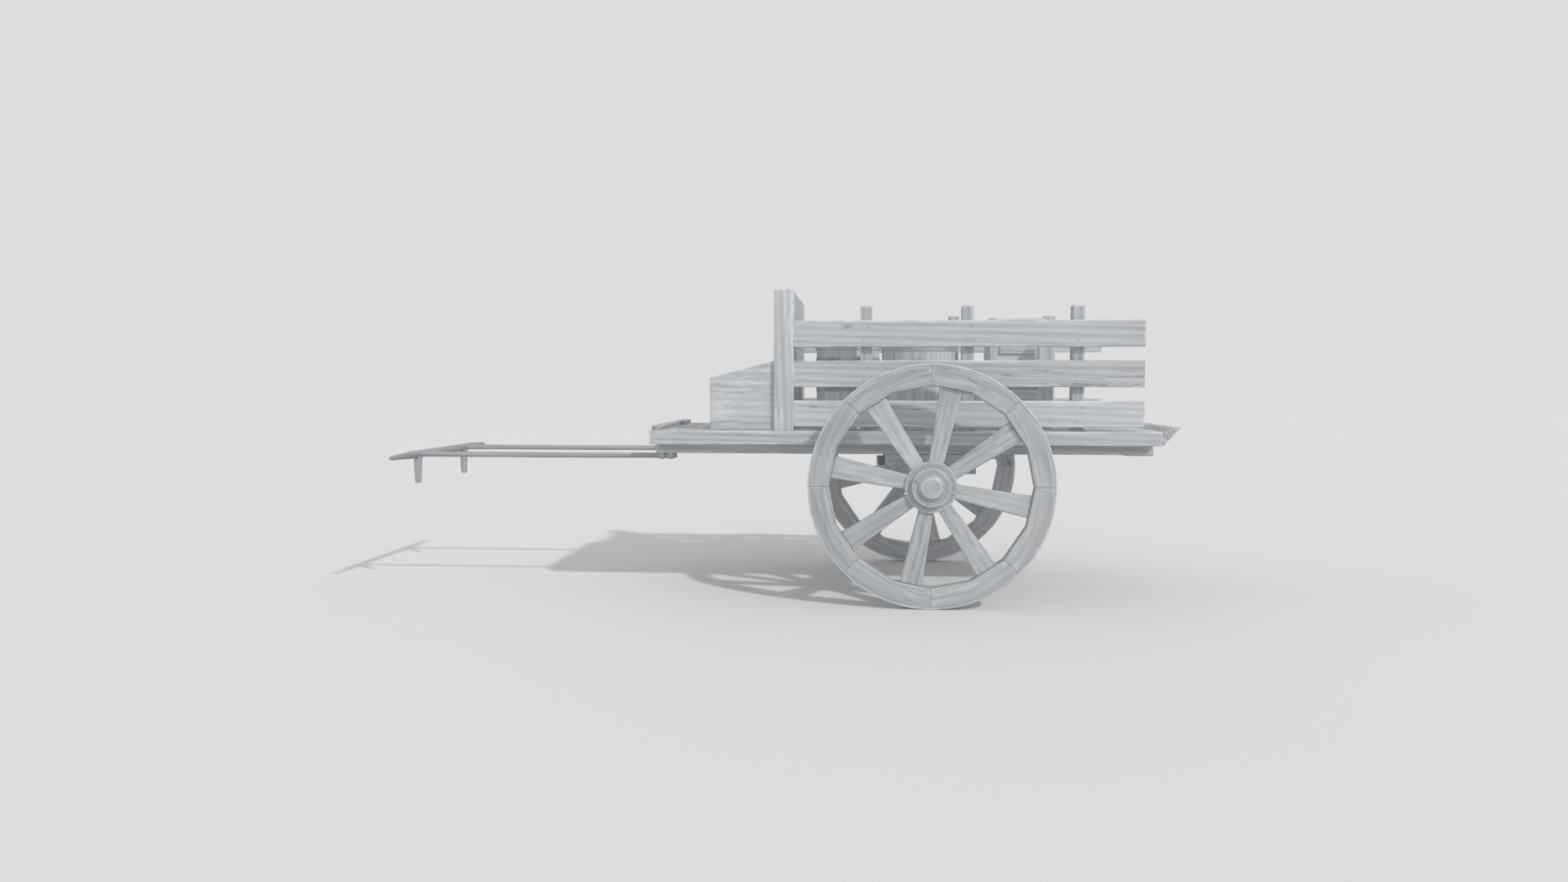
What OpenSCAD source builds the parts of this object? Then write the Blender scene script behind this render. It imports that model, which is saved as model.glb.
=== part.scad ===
// Two-wheeled slat-sided cart with a seat box, round shafts, a cross yoke and a small load.
// The cart travels towards -X. Its left side is -Y. Lengths are in millimetres.

/* [Wheels] */
// Outside diameter of each iron tyre
wheel_d = 1220; // [1000:10:1400]
// Distance between the outer faces of the two wheels
wheel_span = 1512; // [1450:2:1650]
// Width of the felloes across the tread
felloe_w = 70; // [60:1:80]
// Radial thickness of the iron tyre
tyre_t = 12; // [8:1:14]
// How much narrower the tyre is than the felloes
tyre_inset = 4; // [2:1:8]
// Radial depth of the felloes at the corners of their inner edge
felloe_depth = 92; // [70:1:110]
// Width of a spoke where it leaves the nave
spoke_foot_w = 72; // [50:1:84]
// Width of a spoke where it meets the felloe
spoke_head_w = 112; // [80:1:120]
// Thickness of a spoke
spoke_t = 36; // [24:1:40]
// Diameter of the nave over its iron bands
nave_d = 256; // [240:2:290]
// Radial thickness of the bands on the nave
band_t = 6; // [4:1:8]
// Length of the nave inboard of the middle of the felloes
nave_in = 107; // [100:1:115]
// Length of the nave's body outboard of the middle of the felloes
nave_out = 32; // [30:1:40]
// Diameter of the nave's nose over its band
nose_d = 192; // [160:2:200]
// Length of the nave's nose
nose_l = 26; // [20:1:40]
// Width of the bands on the nave's body
band_w = 12; // [10:1:12]
// Diameter of the hub cap
cap_d = 128; // [110:2:140]
// Length of the hub cap outside the nose
cap_l = 22; // [18:1:30]
// Wall of the hub cap
cap_wall = 7; // [5:1:8]
// Bevel round the hub cap's edge
cap_bevel = 15; // [6:1:16]

/* [Axle] */
// Diameter of the axle's round arms
arm_d = 44; // [36:1:48]
// Running clearance between arm and axle box, measured on the radius
arm_clear = 0.05; // [0.03:0.01:0.09]
// Wall of the iron axle box
box_wall = 10; // [7:1:12]
// Width and height of the axle's square middle
axle_sq = 40; // [40:1:44]
// Width of the timber bed that holds the axle
axle_bed_w = 120; // [100:2:140]
// Thickness of each washer on the axle
washer_t = 4; // [3:1:5]
// Side play of a wheel between its washers
side_play = 0.6; // [0.3:0.1:1]
// Diameter of a linchpin
linch_d = 7; // [6:1:8]
// Length of a linchpin
linch_l = 70; // [60:1:76]

/* [Bed] */
// Length of the bed from front end to tail end
bed_l = 2610; // [2400:10:2900]
// Width of the bed over its side sills
bed_w = 1118; // [1080:2:1150]
// Distance from the axle forward to the bed's front end
bed_front = 1445; // [1350:5:1550]
// Height of the deck above the ground
deck_z = 879; // [860:1:900]
// Thickness of the floor boards
floor_t = 34; // [25:1:40]
// Gap between neighbouring floor boards
floor_gap = 2.5; // [1:0.5:4]
// Number of floor boards
floor_n = 20; // [18:1:22]
// Height of the side sills
sill_h = 73; // [65:1:90]
// Thickness of the side sills
sill_t = 45; // [35:1:50]
// Height of the lengthwise beams
beam_h = 96; // [80:1:110]
// Width of the lengthwise beams
beam_w = 80; // [70:1:90]
// Distance between the outer faces of the two beams
beam_span = 780; // [770:2:800]
// Width of a cross bearer
bearer_w = 80; // [60:2:100]
// Depth of a cross bearer
bearer_h = 70; // [50:1:75]
// Height of the front lip bar
front_lip_h = 24; // [15:1:40]
// Width of the front lip bar
front_lip_w = 47; // [30:1:60]
// How far the tail lip reaches behind the bed
tail_lip_out = 90; // [60:2:120]
// How far the tail lip rises above the deck
tail_lip_rise = 22; // [10:1:50]
// Width of the tail lip's flat top
tail_lip_top = 45; // [25:1:50]

/* [Slatted sides] */
// Distance between the outer faces of the left and right rails
rail_span = 1008; // [990:2:1020]
// Thickness of a rail
rail_t = 34; // [20:1:36]
// Height of a rail
rail_h = 139; // [120:1:142]
// Height of the lowest rail's lower edge above the deck
rail_z0 = 17; // [5:1:30]
// Distance from one rail's lower edge to the next one's
rail_pitch = 206; // [200:1:215]
// Distance from the axle back to the rails' tail ends
rail_end = 1087; // [900:5:1120]
// Width of a post, along the cart
post_w = 62; // [50:1:70]
// Height of the posts' tops above the deck
post_top = 643; // [600:1:700]
// Distance from the axle to the front post, forward
post_1 = 322; // [280:2:400]
// Distance from the axle to the middle post, back
post_2 = 201; // [150:2:250]
// Distance from the axle to the rear post, back
post_3 = 761; // [700:2:900]

/* [Headboard] */
// Height of the headboard above the deck
head_h = 731; // [660:1:800]
// Distance from the axle forward to the headboard's rear face
head_x = 697; // [640:1:760]
// Depth of the headboard's posts, along the cart
head_post_t = 102; // [80:1:120]
// Thickness of the headboard's boards
head_board_t = 45; // [30:1:50]
// Number of boards in the headboard
head_board_n = 5; // [4:1:7]
// Gap between the headboard's boards
head_gap = 2; // [1:0.5:4]
// Width of a batten across the headboard's boards
batten_w = 60; // [40:1:80]
// Thickness of a batten
batten_t = 22; // [15:1:24]

/* [Seat box] */
// Length of the seat box, along the cart
seat_l = 339; // [280:1:400]
// Width of the seat box over its sides
seat_w = 960; // [920:2:980]
// Height of the seat box at its front
seat_h = 274; // [220:1:320]
// Slope of the seat box's lid, in degrees
seat_slope = 14.4; // [8:0.2:18]
// Thickness of the seat box's sides
seat_side_t = 30; // [20:1:34]
// Thickness of the seat box's front
seat_front_t = 28; // [20:1:34]
// Thickness of the lid's boards
lid_t = 22; // [18:1:26]
// Gap at each end of the lid
lid_gap = 3; // [2:0.5:5]
// Radius of a hinge knuckle
knuckle_r = 7; // [6:0.5:8]
// Radius of a hinge pin
pin_r = 3; // [2.5:0.5:3.5]
// Length of a hinge, along its pin
hinge_l = 60; // [50:2:80]
// Thickness of the hinge plates
plate_t = 3; // [2:0.5:3]
// Length of the strap on the lid
strap_l = 210; // [120:5:240]

/* [Shafts and yoke] */
// Diameter of a shaft
shaft_d = 30; // [26:1:36]
// Distance between the middles of the two shafts
shaft_span = 674; // [660:2:700]
// How far a shaft reaches back under the bed
shaft_under = 106; // [90:1:160]
// Distance from the axle forward to the yoke
yoke_x = 2780; // [2600:5:2900]
// Length of the yoke
yoke_l = 1350; // [1200:10:1500]
// Diameter of the yoke between the shafts
yoke_d = 42; // [38:1:50]
// Diameter of the yoke at its ends
yoke_end_d = 23; // [18:1:30]
// Length of each tapered end of the yoke
yoke_taper = 250; // [180:5:280]
// Length of a peg below the middle of the yoke
peg_l = 158; // [120:1:200]
// Diameter of a peg at its top
peg_top_d = 48; // [44:1:54]
// Diameter of a peg at its foot
peg_foot_d = 33; // [26:1:40]

/* [Load] */
// Diameter of the small barrel
small_barrel_d = 342; // [300:2:346]
// Height of the small barrel without its lid
small_barrel_h = 424; // [350:2:480]
// Diameter of the large barrel
large_barrel_d = 424; // [380:2:430]
// Height of the large barrel without its lid
large_barrel_h = 500; // [400:2:520]
// Thickness of the barrels' staves
stave_t = 18; // [14:1:22]
// Number of staves in a barrel
stave_n = 16; // [12:1:20]
// Gap at the joints between a crate's boards
crate_joint = 0.4; // [0.2:0.1:1]
// How far a barrel's lid reaches past its staves
lid_lip = 6; // [4:1:8]
// Thickness of a barrel's lid
barrel_lid_t = 34; // [20:1:40]
// Width of the lower crate, along the cart
low_crate_l = 380; // [320:2:400]
// Depth of the lower crate, across the cart
low_crate_w = 400; // [360:2:440]
// Height of the lower crate
low_crate_h = 296; // [240:2:320]
// Width of the upper crate, along the cart
top_crate_l = 288; // [260:2:300]
// Depth of the upper crate, across the cart
top_crate_w = 320; // [280:2:340]
// Height of the upper crate
top_crate_h = 300; // [240:2:320]
// Thickness of the crates' boards
crate_t = 14; // [10:1:18]
// Thickness of the frames nailed on the crates' sides
frame_t = 12; // [8:1:14]
// Width of the stiles and rails of the lower crate's frames
low_stile_w = 74; // [50:1:80]
// Width of the stiles and top rails of the upper crate's frames
top_stile_w = 28; // [24:1:40]
// Height of the bottom rails of the upper crate's frames
top_foot_h = 76; // [50:1:90]

/* [Hidden] */
$fn = 64;

timber = [0.69, 0.70, 0.71];
iron = [0.42, 0.43, 0.45];
rim_fn = 180;
bite = 2;
// Joint gap between neighbouring pieces of timber, and the slip of a bolt in an iron plate or nut.
joint = 0.3;
slip = 0.15;

// Wheel values worked out from the sizes above. "Out" is the distance from the cart's middle plane.
wheel_r = wheel_d / 2;
felloe_r = wheel_r - tyre_t;
corner_r = felloe_r - felloe_depth;
wheel_sides = 16;
wheel_arms = 8;
felloe_flat = corner_r * cos(180 / wheel_sides);
wheel_mid = wheel_span / 2 - felloe_w / 2;
nave_r = nave_d / 2 - band_t;
nose_r = nose_d / 2 - band_t;
nave_inner = wheel_mid - nave_in;
nave_step = wheel_mid + nave_out;
nave_end = nave_step + nose_l;
arm_r = arm_d / 2;
box_bore = arm_r + arm_clear;
box_r = box_bore + box_wall;
cap_cavity_r = cap_d / 2 - cap_bevel - 3;
washer_seat = nave_end - 11;
inner_washer_r = box_r + 13;
outer_washer_r = box_r + 6;
linch_out = washer_seat + side_play + washer_t + linch_d / 2 + 0.5;
arm_end = nave_end + 7;
inner_washer_out = nave_inner - side_play - washer_t;

// Bed values. X is measured from the axle here, towards the tail.
bed_x0 = -bed_front;
bed_x1 = bed_l - bed_front;
floor_z = deck_z - floor_t;
sill_z = deck_z - sill_h;
beam_z = floor_z - beam_h;
beam_out = beam_span / 2;
floor_half = bed_w / 2 - sill_t;
board_pitch = bed_l / floor_n;
lip_top_z = deck_z + tail_lip_rise;

// Side values
rail_out = rail_span / 2;
rail_in = rail_out - rail_t;
post_x = [-post_1, post_2, post_3];
post_foot = sill_z;
notch = 1;

// Headboard and seat box values
head_x0 = -head_x - head_post_t;
head_x1 = -head_x;
head_board_h = (head_h - 6 - head_gap * head_board_n) / head_board_n;
seat_x0 = head_x0 - seat_l;
seat_in = seat_w / 2 - seat_side_t;
seat_rear_h = seat_h + seat_l * tan(seat_slope);
hinge_x = head_x0 - knuckle_r - 0.5;
lid_drop = knuckle_r - 3;
hinge_z = deck_z + seat_h + (hinge_x - seat_x0) * tan(seat_slope) + lid_drop / cos(seat_slope) - 3;
lid_len = (hinge_x - seat_x0) / cos(seat_slope);
hinge_out = 280;

// Shaft values
shaft_out = shaft_span / 2;
shaft_z = beam_z - shaft_d / 2;
tenon_r = 8;
tenon_l = 12;

// Load values
small_barrel_x = -421;
small_barrel_y = -150;
large_barrel_x = -20;
large_barrel_y = 60;
crate_x = 490;
low_crate_y = 0;
top_crate_y = -40;

// The frame's origin is under the middle of the cart's whole length.
front_tip = -yoke_x - peg_top_d / 2;
tail_tip = bed_x1 + tail_lip_out;
mid_x = (front_tip + tail_tip) / 2;

module at_axle() {
    translate([-mid_x, 0, 0])
        children();
}

// A bar given by its two opposite corners.
module bar(low, high) {
    translate(low)
        cube(high - low);
}

// Both sides of the cart: the piece drawn on the right, and its mirror image on the left.
module both_sides() {
    children();
    mirror([0, 1, 0])
        children();
}

// A round piece whose axis lies across the cart, from out1 to out2.
module across(r, out1, out2) {
    translate([0, out1, 0])
        rotate([-90, 0, 0])
            cylinder(r = r, h = out2 - out1);
}

// A ring whose axis lies across the cart.
module ring_across(r_out, r_in, out1, out2) {
    difference() {
        across(r_out, out1, out2);
        across(r_in, out1 - 1, out2 + 1);
    }
}

// A section drawn in X and Z, carried across the cart from out1 to out2.
module section_across(points, out1, out2) {
    translate([0, out2, 0])
        rotate([90, 0, 0])
            linear_extrude(height = out2 - out1)
                polygon(points);
}

module on_axle() {
    at_axle()
        translate([0, 0, wheel_r])
            children();
}

module left() {
    mirror([0, 1, 0])
        children();
}

// ---- Wheel, drawn on the right side ----

module tyre() {
    half = (felloe_w - tyre_inset) / 2;
    color(iron)
        ring_across(wheel_r, felloe_r, wheel_mid - half, wheel_mid + half, $fn = rim_fn);
}

// Eight felloes with straight-cut inner edges. A joint lies on every second corner of those edges.
module felloes() {
    span = 360 / wheel_arms;
    color(timber)
        for (i = [0 : wheel_arms - 1])
            rotate([0, -(i + 0.5) * span, 0])
                felloe(span);
}

module felloe(span) {
    half = span / 2;
    far = wheel_r / cos(half) + 10;
    tip = [far * cos(half), far * sin(half) - joint / 2];
    corner = [corner_r * cos(half), corner_r * sin(half) - joint / 2];
    intersection() {
        across(felloe_r, wheel_mid - felloe_w / 2, wheel_mid + felloe_w / 2, $fn = rim_fn);
        section_across([
            [corner[0], -corner[1]],
            [tip[0], -tip[1]],
            [tip[0], tip[1]],
            [corner[0], corner[1]],
            [corner_r, 0]
        ], 0, wheel_span);
    }
}

// Eight flat spokes that widen outwards. Each one ends square, close under a flat of the felloes.
module spokes() {
    step = 360 / wheel_arms;
    lean = 180 / wheel_sides;
    color(timber)
        difference() {
            for (i = [0 : wheel_arms - 1])
                rotate([0, lean - i * step, 0])
                    spoke();
            across(nave_r, 0, wheel_span);
        }
}

module spoke() {
    foot = nave_r - 12;
    head = felloe_flat - slip;
    section_across([
        [foot, -spoke_foot_w / 2],
        [head, -spoke_head_w / 2],
        [head, spoke_head_w / 2],
        [foot, spoke_foot_w / 2]
    ], wheel_mid - spoke_t / 2, wheel_mid + spoke_t / 2);
}

module nave() {
    color(timber)
        difference() {
            union() {
                across(nave_r, nave_inner, nave_step);
                across(nose_r, nave_step - bite, nave_end);
            }
            across(box_r, nave_inner - 1, nave_end + 1);
            across(cap_cavity_r, washer_seat, nave_end + 1);
        }
}

module nave_bands() {
    color(iron) {
        ring_across(nave_d / 2, nave_r, nave_inner, nave_inner + band_w * 1.5);
        ring_across(nave_d / 2, nave_r, nave_step - band_w, nave_step);
        ring_across(nose_d / 2, nose_r, nave_step, nave_end);
    }
}

module axle_box() {
    color(iron)
        ring_across(box_r, box_bore, nave_inner, washer_seat);
}

module hub_cap() {
    depth = cap_l - cap_wall;
    color(iron)
        rotate([-90, 0, 0])
            translate([0, 0, nave_end])
                rotate_extrude()
                    polygon([
                        [cap_cavity_r, 0],
                        [cap_d / 2, 0],
                        [cap_d / 2, cap_l - cap_bevel],
                        [cap_d / 2 - cap_bevel, cap_l],
                        [0, cap_l],
                        [0, depth],
                        [cap_cavity_r, depth]
                    ]);
}

module left_tyre() { on_axle() left() tyre(); }
module left_felloes() { on_axle() left() felloes(); }
module left_spokes() { on_axle() left() spokes(); }
module left_nave() { on_axle() left() nave(); }
module left_nave_bands() { on_axle() left() nave_bands(); }
module left_axle_box() { on_axle() left() axle_box(); }
module left_hub_cap() { on_axle() left() hub_cap(); }

// The right wheel is the left one turned half way round, so its spokes lean the other way.
module turned() {
    mirror([1, 0, 0])
        children();
}

module right_tyre() { on_axle() turned() tyre(); }
module right_felloes() { on_axle() turned() felloes(); }
module right_spokes() { on_axle() turned() spokes(); }
module right_nave() { on_axle() turned() nave(); }
module right_nave_bands() { on_axle() turned() nave_bands(); }
module right_axle_box() { on_axle() turned() axle_box(); }
module right_hub_cap() { on_axle() turned() hub_cap(); }

// ---- Axle and what carries the bed on it ----

axle_bed_end = inner_washer_out - 10;
axle_bed_z0 = wheel_r - axle_sq / 2;
saddle_z = wheel_r + 35;
upper_saddle_z = saddle_z + (beam_z - saddle_z) * 0.45;
saddle_half = 256;
upper_half = 236;
upper_shift = 18;
clamp_x = axle_bed_w / 2 + 9;
clamp_r = 6;
clamp_out = beam_out - beam_w / 2;

module axle() {
    color(iron)
        on_axle() {
            bar([-axle_sq / 2, -axle_bed_end - bite, -axle_sq / 2],
                [axle_sq / 2, axle_bed_end + bite, axle_sq / 2]);
            both_sides()
                across(arm_r, axle_bed_end + joint, arm_end);
        }
}

// Inner and outer washers, and a linchpin through the end of each arm.
module axle_fastenings() {
    color(iron)
        on_axle()
            both_sides() {
                ring_across(inner_washer_r, arm_r, inner_washer_out, inner_washer_out + washer_t);
                translate([0, washer_seat + side_play, 0])
                    ring_across(outer_washer_r, arm_r, 0, washer_t);
                translate([0, linch_out, -linch_l / 2])
                    cylinder(d = linch_d, h = linch_l);
            }
}

module axle_bed() {
    color(timber)
        at_axle()
            difference() {
                bar([-axle_bed_w / 2, -axle_bed_end, axle_bed_z0], [axle_bed_w / 2, axle_bed_end, saddle_z]);
                bar([-axle_sq / 2, -axle_bed_end - 1, axle_bed_z0 - 1],
                    [axle_sq / 2, axle_bed_end + 1, wheel_r + axle_sq / 2]);
            }
}

// A wide plank across the axle bed, and a block on it under each beam.
module saddles() {
    color(timber)
        at_axle() {
            bar([-saddle_half, -beam_out, saddle_z], [saddle_half, beam_out, upper_saddle_z]);
            both_sides()
                bar([upper_shift - upper_half, beam_out - beam_w, upper_saddle_z + joint],
                    [upper_shift + upper_half, beam_out, beam_z]);
        }
}

// Two bolts each side hold a plate up against the axle bed. Each has a hexagon nut under the plate.
module axle_clamps() {
    plate_half = clamp_x + 20;
    plate_z = axle_bed_z0 - 8;
    nut_h = 11;
    color(iron)
        at_axle()
            both_sides() {
                difference() {
                    bar([-plate_half, clamp_out - 20, plate_z], [plate_half, clamp_out + 20, axle_bed_z0]);
                    for (s = [-1, 1])
                        translate([s * clamp_x, clamp_out, plate_z - 1])
                            cylinder(r = clamp_r + slip, h = 10);
                }
                for (s = [-1, 1])
                    translate([s * clamp_x, clamp_out, plate_z - nut_h - 5]) {
                        cylinder(r = clamp_r, h = floor_z - 6 - plate_z + nut_h + 5);
                        translate([0, 0, 5 - slip])
                            hex_nut(11, clamp_r, nut_h);
                    }
            }
}

// A hexagon nut that stands on the XY plane, with slip round its bolt.
module hex_nut(r, bolt_r, h) {
    difference() {
        cylinder(r = r, h = h, $fn = 6);
        translate([0, 0, -1])
            cylinder(r = bolt_r + slip, h = h + 2);
    }
}

// ---- Bed ----

// Cross boards with notches for the posts that pass through them.
module floor_boards() {
    color(timber)
        at_axle()
            difference() {
                for (i = [0 : floor_n - 1])
                    bar([bed_x0 + i * board_pitch + floor_gap / 2, -floor_half, floor_z],
                        [bed_x0 + (i + 1) * board_pitch - floor_gap / 2, floor_half, deck_z]);
                both_sides() {
                    for (x = post_x)
                        bar([x - post_w / 2 - notch, beam_out - notch, floor_z - 1],
                            [x + post_w / 2 + notch, rail_in + notch, deck_z + 1]);
                    bar([head_x0 - notch, beam_out - notch, floor_z - 1],
                        [head_x1 + notch, rail_out + notch, deck_z + 1]);
                }
            }
}

module sill() {
    color(timber)
        at_axle()
            bar([bed_x0, floor_half, sill_z], [bed_x1, bed_w / 2, deck_z]);
}

module left_sill() { left() sill(); }
module right_sill() { sill(); }

// Boards that close the two ends of the bed under the floor.
module end_sills() {
    thick = 30;
    color(timber)
        at_axle() {
            bar([bed_x0, beam_out, sill_z], [bed_x0 + thick, floor_half, floor_z]);
            bar([bed_x0, -floor_half, sill_z], [bed_x0 + thick, -beam_out, floor_z]);
            bar([bed_x0, -beam_out + beam_w, sill_z], [bed_x0 + thick, beam_out - beam_w, floor_z]);
            bar([bed_x1 - thick, beam_out, sill_z], [bed_x1, floor_half, floor_z]);
            bar([bed_x1 - thick, -floor_half, sill_z], [bed_x1, -beam_out, floor_z]);
            bar([bed_x1 - thick, -beam_out + beam_w, sill_z], [bed_x1, beam_out - beam_w, floor_z]);
        }
}

module beam() {
    color(timber)
        at_axle()
            bar([bed_x0, beam_out - beam_w, beam_z], [bed_x1, beam_out, floor_z]);
}

module left_beam() { left() beam(); }
module right_beam() { beam(); }

// Bearers near both ends of the bed and midway between the posts, clear of the posts' bolts.
module cross_bearers() {
    from_end = 150;
    places = [bed_x0 + from_end, (head_x1 + post_x[0]) / 2, (post_x[0] + post_x[1]) / 2,
              (post_x[1] + post_x[2]) / 2, bed_x1 - from_end];
    color(timber)
        at_axle()
            for (x = places)
                bar([x - bearer_w / 2, beam_w - beam_out, floor_z - bearer_h],
                    [x + bearer_w / 2, beam_out - beam_w, floor_z]);
}

module front_lip() {
    color(timber)
        at_axle()
            bar([bed_x0, -rail_out, deck_z], [bed_x0 + front_lip_w, rail_out, deck_z + front_lip_h]);
}

// A wedge-shaped board that slopes up and out behind the bed.
module tail_lip() {
    color(timber)
        at_axle()
            section_across([
                [bed_x1, sill_z],
                [tail_tip, lip_top_z],
                [tail_tip - tail_lip_top, lip_top_z],
                [bed_x1, deck_z - 6]
            ], -bed_w / 2, bed_w / 2);
}

// Bent iron straps under the tail lip, screwed to the beams' undersides.
module tail_straps() {
    width = 40;
    thick = 4;
    reach = 140;
    share = 0.8;
    rise = lip_top_z - sill_z;
    slope_l = sqrt(pow(tail_lip_out, 2) + pow(rise, 2));
    nx = rise / slope_l * thick;
    nz = tail_lip_out / slope_l * thick;
    tip_x = bed_x1 + share * tail_lip_out;
    tip_z = sill_z + share * rise;
    color(iron)
        at_axle()
            both_sides()
                section_across([
                    [bed_x1 - reach, beam_z - thick],
                    [bed_x1 + thick, beam_z - thick],
                    [bed_x1 + thick, sill_z - nz + (thick - nx) * rise / tail_lip_out],
                    [tip_x + nx, tip_z - nz],
                    [tip_x, tip_z],
                    [bed_x1, sill_z],
                    [bed_x1, beam_z],
                    [bed_x1 - reach, beam_z]
                ], beam_out - beam_w / 2 - width / 2, beam_out - beam_w / 2 + width / 2);
}

// ---- Slatted sides ----

module posts() {
    color(timber)
        at_axle()
            for (x = post_x)
                bar([x - post_w / 2, beam_out, post_foot], [x + post_w / 2, rail_in, deck_z + post_top]);
}

module rails() {
    color(timber)
        at_axle()
            for (i = [0 : 2])
                bar([head_x1, rail_in, deck_z + rail_z0 + i * rail_pitch],
                    [rail_end, rail_out, deck_z + rail_z0 + i * rail_pitch + rail_h]);
}

module left_posts() { left() posts(); }
module right_posts() { posts(); }
module left_rails() { left() rails(); }
module right_rails() { rails(); }

// ---- Headboard ----

// Two stout posts that pass down beside the beams. Their upper edges are rounded.
module headboard_posts() {
    round_r = 10;
    top = deck_z + head_h;
    color(timber)
        at_axle()
            both_sides()
                translate([0, rail_out, 0])
                    rotate([90, 0, 0])
                        linear_extrude(height = rail_out - beam_out)
                            union() {
                                translate([head_x0, post_foot])
                                    square([head_post_t, top - round_r - post_foot]);
                                translate([head_x0 + round_r, top - 2 * round_r])
                                    square([head_post_t - 2 * round_r, 2 * round_r]);
                                for (x = [head_x0 + round_r, head_x1 - round_r])
                                    translate([x, top - round_r])
                                        circle(r = round_r);
                            }
}

module headboard_boards() {
    color(timber)
        at_axle()
            for (i = [0 : head_board_n - 1])
                bar([head_x1 - head_board_t, -beam_out, deck_z + i * (head_board_h + head_gap)],
                    [head_x1, beam_out, deck_z + i * (head_board_h + head_gap) + head_board_h]);
}

batten_z0 = hinge_z + 40;
module headboard_battens() {
    inset = 30;
    inner = 190;
    color(timber)
        at_axle()
            both_sides()
                bar([head_x1 - head_board_t - batten_t, inner, batten_z0],
                    [head_x1 - head_board_t, inner + batten_w, deck_z + head_h - inset]);
}

// ---- Seat box ----

module seat_sides() {
    color(timber)
        at_axle()
            both_sides()
                section_across([
                    [seat_x0, deck_z],
                    [head_x0, deck_z],
                    [head_x0, deck_z + seat_rear_h],
                    [seat_x0, deck_z + seat_h]
                ], seat_in, seat_w / 2);
}

// Height of the lid's underside above the seat box's floor line, at a distance x from the axle.
function under_lid(x) = hinge_z - (hinge_x - x) * tan(seat_slope) - (lid_drop + lid_t) / cos(seat_slope);
rest_gap = 0.3;

module seat_front() {
    color(timber)
        at_axle()
            section_across([
                [seat_x0, deck_z],
                [seat_x0 + seat_front_t, deck_z],
                [seat_x0 + seat_front_t, under_lid(seat_x0 + seat_front_t) - rest_gap],
                [seat_x0, under_lid(seat_x0) - rest_gap]
            ], -seat_in, seat_in);
}

// Strips on the sides' inner faces that the lid rests on.
module seat_cleats() {
    size = 25;
    x0 = seat_x0 + seat_front_t;
    x1 = head_x0 - 20;
    color(timber)
        at_axle()
            both_sides()
                section_across([
                    [x0, under_lid(x0) - size],
                    [x1, under_lid(x1) - size],
                    [x1, under_lid(x1) - rest_gap],
                    [x0, under_lid(x0) - rest_gap]
                ], seat_in - size, seat_in);
}

// A rail between the headboard's posts that carries the hinges.
rail_top = hinge_z - lid_drop;
module seat_back_rail() {
    color(timber)
        at_axle()
            bar([head_x0, -beam_out, rail_top - 70], [head_x1 - head_board_t, beam_out, rail_top]);
}

// The lid lies in its own slanted frame. The hinge line is its origin and the front is -X.
module lid_frame() {
    at_axle()
        translate([hinge_x, 0, hinge_z])
            rotate([0, -seat_slope, 0])
                children();
}

module seat_lid() {
    rear = -knuckle_r - 2;
    middle = (rear - lid_len) / 2;
    half = seat_in - lid_gap;
    batten_half = 30;
    color(timber)
        lid_frame() {
            bar([-lid_len, -half, -lid_drop - lid_t], [middle - 1, half, -lid_drop]);
            bar([middle + 1, -half, -lid_drop - lid_t], [rear, half, -lid_drop]);
            both_sides()
                bar([-lid_len + seat_front_t + 12, hinge_out - batten_half, -lid_drop - lid_t - 20],
                    [rear - 20, hinge_out + batten_half, -lid_drop - lid_t - joint]);
        }
}

// The fixed half of each hinge: the middle knuckle and a plate on the back rail.
knuckle_half = hinge_l / 4;
knuckle_gap = 0.4;
module hinge_plates() {
    color(iron)
        at_axle()
            both_sides()
                translate([hinge_x, hinge_out, hinge_z])
                    difference() {
                        union() {
                            across(knuckle_r, -knuckle_half, knuckle_half);
                            bar([0, -knuckle_half, -lid_drop], [50, knuckle_half, plate_t - lid_drop]);
                        }
                        across(pin_r, -hinge_l, hinge_l);
                    }
}

// The moving half of each hinge: two end knuckles and a strap along the lid.
module hinge_straps() {
    color(iron)
        lid_frame()
            both_sides()
                translate([0, hinge_out, 0])
                    difference() {
                        union() {
                            across(knuckle_r, -hinge_l / 2, hinge_l / 2);
                            bar([-strap_l, -hinge_l / 2, -lid_drop], [0, hinge_l / 2, plate_t - lid_drop]);
                        }
                        across(knuckle_r + 1, -knuckle_half - knuckle_gap, knuckle_half + knuckle_gap);
                        across(pin_r + arm_clear, -hinge_l, hinge_l);
                    }
}

module hinge_pins() {
    color(iron)
        at_axle()
            both_sides()
                translate([hinge_x, hinge_out, hinge_z])
                    across(pin_r, -hinge_l / 2 - 2, hinge_l / 2 + 2);
}

// ---- Shafts and yoke ----

// A round pole. Its front end is hollowed to the yoke and has a tenon. Its rear end is rounded off.
module shaft() {
    x1 = bed_x0 + shaft_under;
    nose = shaft_d / 4;
    color(timber)
        at_axle()
            translate([-yoke_x, shaft_out, shaft_z]) {
                difference() {
                    rotate([0, 90, 0]) {
                        cylinder(d = shaft_d, h = x1 + yoke_x - nose);
                        translate([0, 0, x1 + yoke_x - nose])
                            cylinder(d1 = shaft_d, d2 = shaft_d * 0.6, h = nose);
                    }
                    across(yoke_d / 2, -shaft_d, shaft_d);
                }
                translate([yoke_d / 2 - tenon_l, 0, 0])
                    rotate([0, 90, 0])
                        cylinder(r = tenon_r, h = tenon_l + 2);
            }
}

module left_shaft() { left() shaft(); }
module right_shaft() { shaft(); }

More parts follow.
